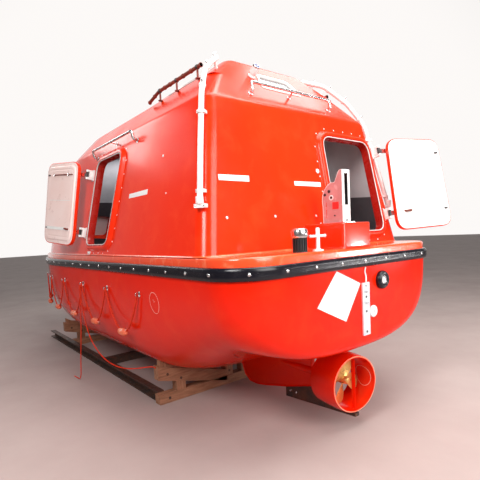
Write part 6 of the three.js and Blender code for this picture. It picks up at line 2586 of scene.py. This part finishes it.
@dataclass
class Cradle:
    """Timber frames under the hull on two steel runners with a tie between them.

    Attributes:
        half: Half a frame's thickness.
        posts: Each post's corners, across and up.
        bolts: Where the bolts are on each side of a frame, across and up.
        beam: The slanting beam's ends across, with its underside and its top at each.
        channel: The runners' section, across and up.
    """

    half: float = 0.049
    posts: tuple = (((0.691, 0.06), (0.801, 0.06), (0.801, 0.34), (0.691, 0.31)),
                    ((0.065, 0.06), (0.165, 0.06), (0.165, 0.26), (0.065, 0.25)))
    bolts: tuple[Span, ...] = ((0.90, 0.30), (0.888, 0.05), (0.745, 0.225), (0.115, 0.15))
    beam: tuple[Span, Span, Span] = ((0.15, 1.002), (0.042, 0.256), (0.165, 0.402))
    channel: tuple[Span, ...] = ((0.901, 0.001), (0.979, 0.001), (0.979, 0.013), (0.915, 0.017),
                                 (0.915, 0.093), (0.979, 0.097), (0.979, 0.109), (0.901, 0.109))

    def frame(self, name: str, node: str, x: float, reach: float) -> None:
        """A plank across, two slanting beams that the hull rests on, and posts, with bolts and a wedge.

        Each beam's upper side is cut to the hull's form: its height there is the hull's less the gap.

        Args:
            name: The piece's name.
            node: The frame's node.
            x: Where along the boat.
            reach: Half the plank's length.
        """
        half = self.half
        patches = self.board(rectangle(2 * (reach - 0.001), 0.098, 0, 0.05), x, half, 0)
        for side in SIDES.values():
            patches += self.fitted(x, half - 0.002, side)
            for post in self.posts:
                patches += self.board([[y * side, z] for y, z in post], x, half - 0.004, 1)
            patches += self.wedge(x, side)
            for y, z in self.bolts:
                place = basis([x - half, y * side, z], [-1, 0, 0])
                patches += placed(slab(circle(0.014, 20), -0.002, 0.002, 0.0005, 2), place)
                patches += placed(slab(circle(0.008, 6), 0.0, 0.0009, 0, 2), place)
        piece(name, patches, [TIMBER_ACROSS, TIMBER_UPRIGHT, DARK_STEEL], replaces=(node,),
              crease=30)

    def board(self, corners: Array, x: float, half: float, finish: int) -> list[Patch]:
        """A sawn board standing across the boat, its edges slightly eased.

        Args:
            corners: Its corners, across and up.
            x: Where along the boat.
            half: Half its thickness.
            finish: Number of the finish.

        Returns:
            The patches.
        """
        corners = np.array(corners, float)
        area = np.sum(corners[:, 0] * np.roll(corners[:, 1], -1) - corners[:, 1] * np.roll(corners[:, 0], -1))
        if area < 0:
            corners = corners[::-1]
        across = np.array([[0, 0, 1, x], [1, 0, 0, 0], [0, 1, 0, 0], [0, 0, 0, 1]], float)
        return placed(slab(rounded(corners, 0.004, 3), -half, half, 0.002, finish), across)

    def fitted(self, x: float, half: float, side: int) -> list[Patch]:
        """A slanting beam whose top follows the hull's underside.

        Args:
            x: Where along the boat.
            half: Half its thickness.
            side: 1 for port, -1 for starboard.

        Returns:
            The patches.
        """
        across, low, high = self.beam
        y = np.linspace(*across, 60)
        return self.under_hull(x, half, side, y, np.interp(y, across, low), np.interp(y, across, high), 0)

    def wedge(self, x: float, side: int) -> list[Patch]:
        """A block driven between the beam's outer end and the hull.

        Args:
            x: Where along the boat.
            side: 1 for port, -1 for starboard.

        Returns:
            The patches.
        """
        across, _, high = self.beam
        y = np.linspace(0.70, 0.97, 24)
        return self.under_hull(x, 0.034, side, y, np.interp(y, across, high) - 0.01,
                               np.interp(y, [0.70, 0.88, 0.97], [0.375, 0.414, 0.465]), 1)

    def under_hull(self, x: float, half: float, side: int, y: Array, low: Array, high: Array,
                   finish: int) -> list[Patch]:
        """A member across the boat between two heights, cut off just under the hull.

        Args:
            x: Where along the boat.
            half: Half its thickness.
            side: 1 for port, -1 for starboard.
            y: Places across.
            low: Its underside at each.
            high: Its top at each, where the hull allows.
            finish: Number of the finish.

        Returns:
            The patches.
        """
        rows = []
        for place in (x - half, x + half):
            hull = self.underside(place, y)
            top = np.minimum(high, hull - 0.001)
            rows.append(np.concatenate([
                np.stack([np.full_like(y, place), y * side, np.minimum(low, top - 0.001)], -1),
                np.stack([np.full_like(y, place), y * side, top], -1)[::-1]]))
        return loft(np.stack(rows), finish)

    @staticmethod
    def underside(x: float, y: Array) -> Array:
        """Height of the hull's outside above a place of the floor.

        Args:
            x: Where along the boat.
            y: Distances from the middle.

        Returns:
            The heights.
        """
        heights = np.linspace(float(HULL.bottom(x)), HULL.sheer, 400)
        half = np.asarray(HULL.side(np.full_like(heights, x), heights))
        return np.interp(y, half, heights, left=heights[0], right=HULL.sheer)

    def runners(self) -> None:
        """Channel section runners, open on the outer side."""
        outline = np.array(self.channel)
        flange_web_flange = [np.array([four]) for four in ([0, 1, 2, 3], [0, 3, 4, 7], [4, 5, 6, 7])]
        for label, side in SIDES.items():
            rings = [np.stack([np.full(8, x), outline[:, 0] * side, outline[:, 1]], -1)
                     for x in np.linspace(-1.679, 2.499, 12)]
            walls = grid(np.stack(rings), round_v=True)
            ends = [Patch(rings[k], flange_web_flange) for k in (0, -1)]
            piece(f"runner_{label}", [walls, *ends], [DARK_STEEL], replaces=(f"cradle_rail_{label}",),
                  crease=30)

    def tie(self) -> None:
        """The square bar between the runners."""
        bar = slab(rounded(rectangle(0.098, 1.798), 0.006, 4), 0.001, 0.099, 0.003)
        piece("tie_bar", bar, [DARK_STEEL], replaces=("cradle_tie",))

    def build(self) -> None:
        """Builds the cradle's pieces."""
        self.frame("timber_frame_aft", "cradle_frame_aft", -1.73, 1.005)
        self.frame("timber_frame_fore", "cradle_frame_fore", 1.5, 0.9)
        self.runners()
        self.tie()


def corners(box: tuple[Vector, Vector]) -> list[list[float]]:
    """A box as plain lists of numbers."""
    return [list(corner) for corner in box]


def main() -> None:
    """Builds the boat round its frame, piece by piece."""
    logging.basicConfig(level=logging.INFO, format="%(message)s")
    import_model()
    studio = Studio()
    studio.camera()
    for part in PARTS:
        part.build()
    studio.build()


PARTS = (LooseRopes(), Hull(), Canopy(), *DOORWAYS.values(), *LEAVES, *HATCHES, SternGear(), Hooks(),
         DeckFittings(), TransomFittings(), Rails(), SprayPipes(), Lamp(), Lifelines(), Markings(), Cabin(),
         Cradle())


if __name__ == "__main__":
    main()
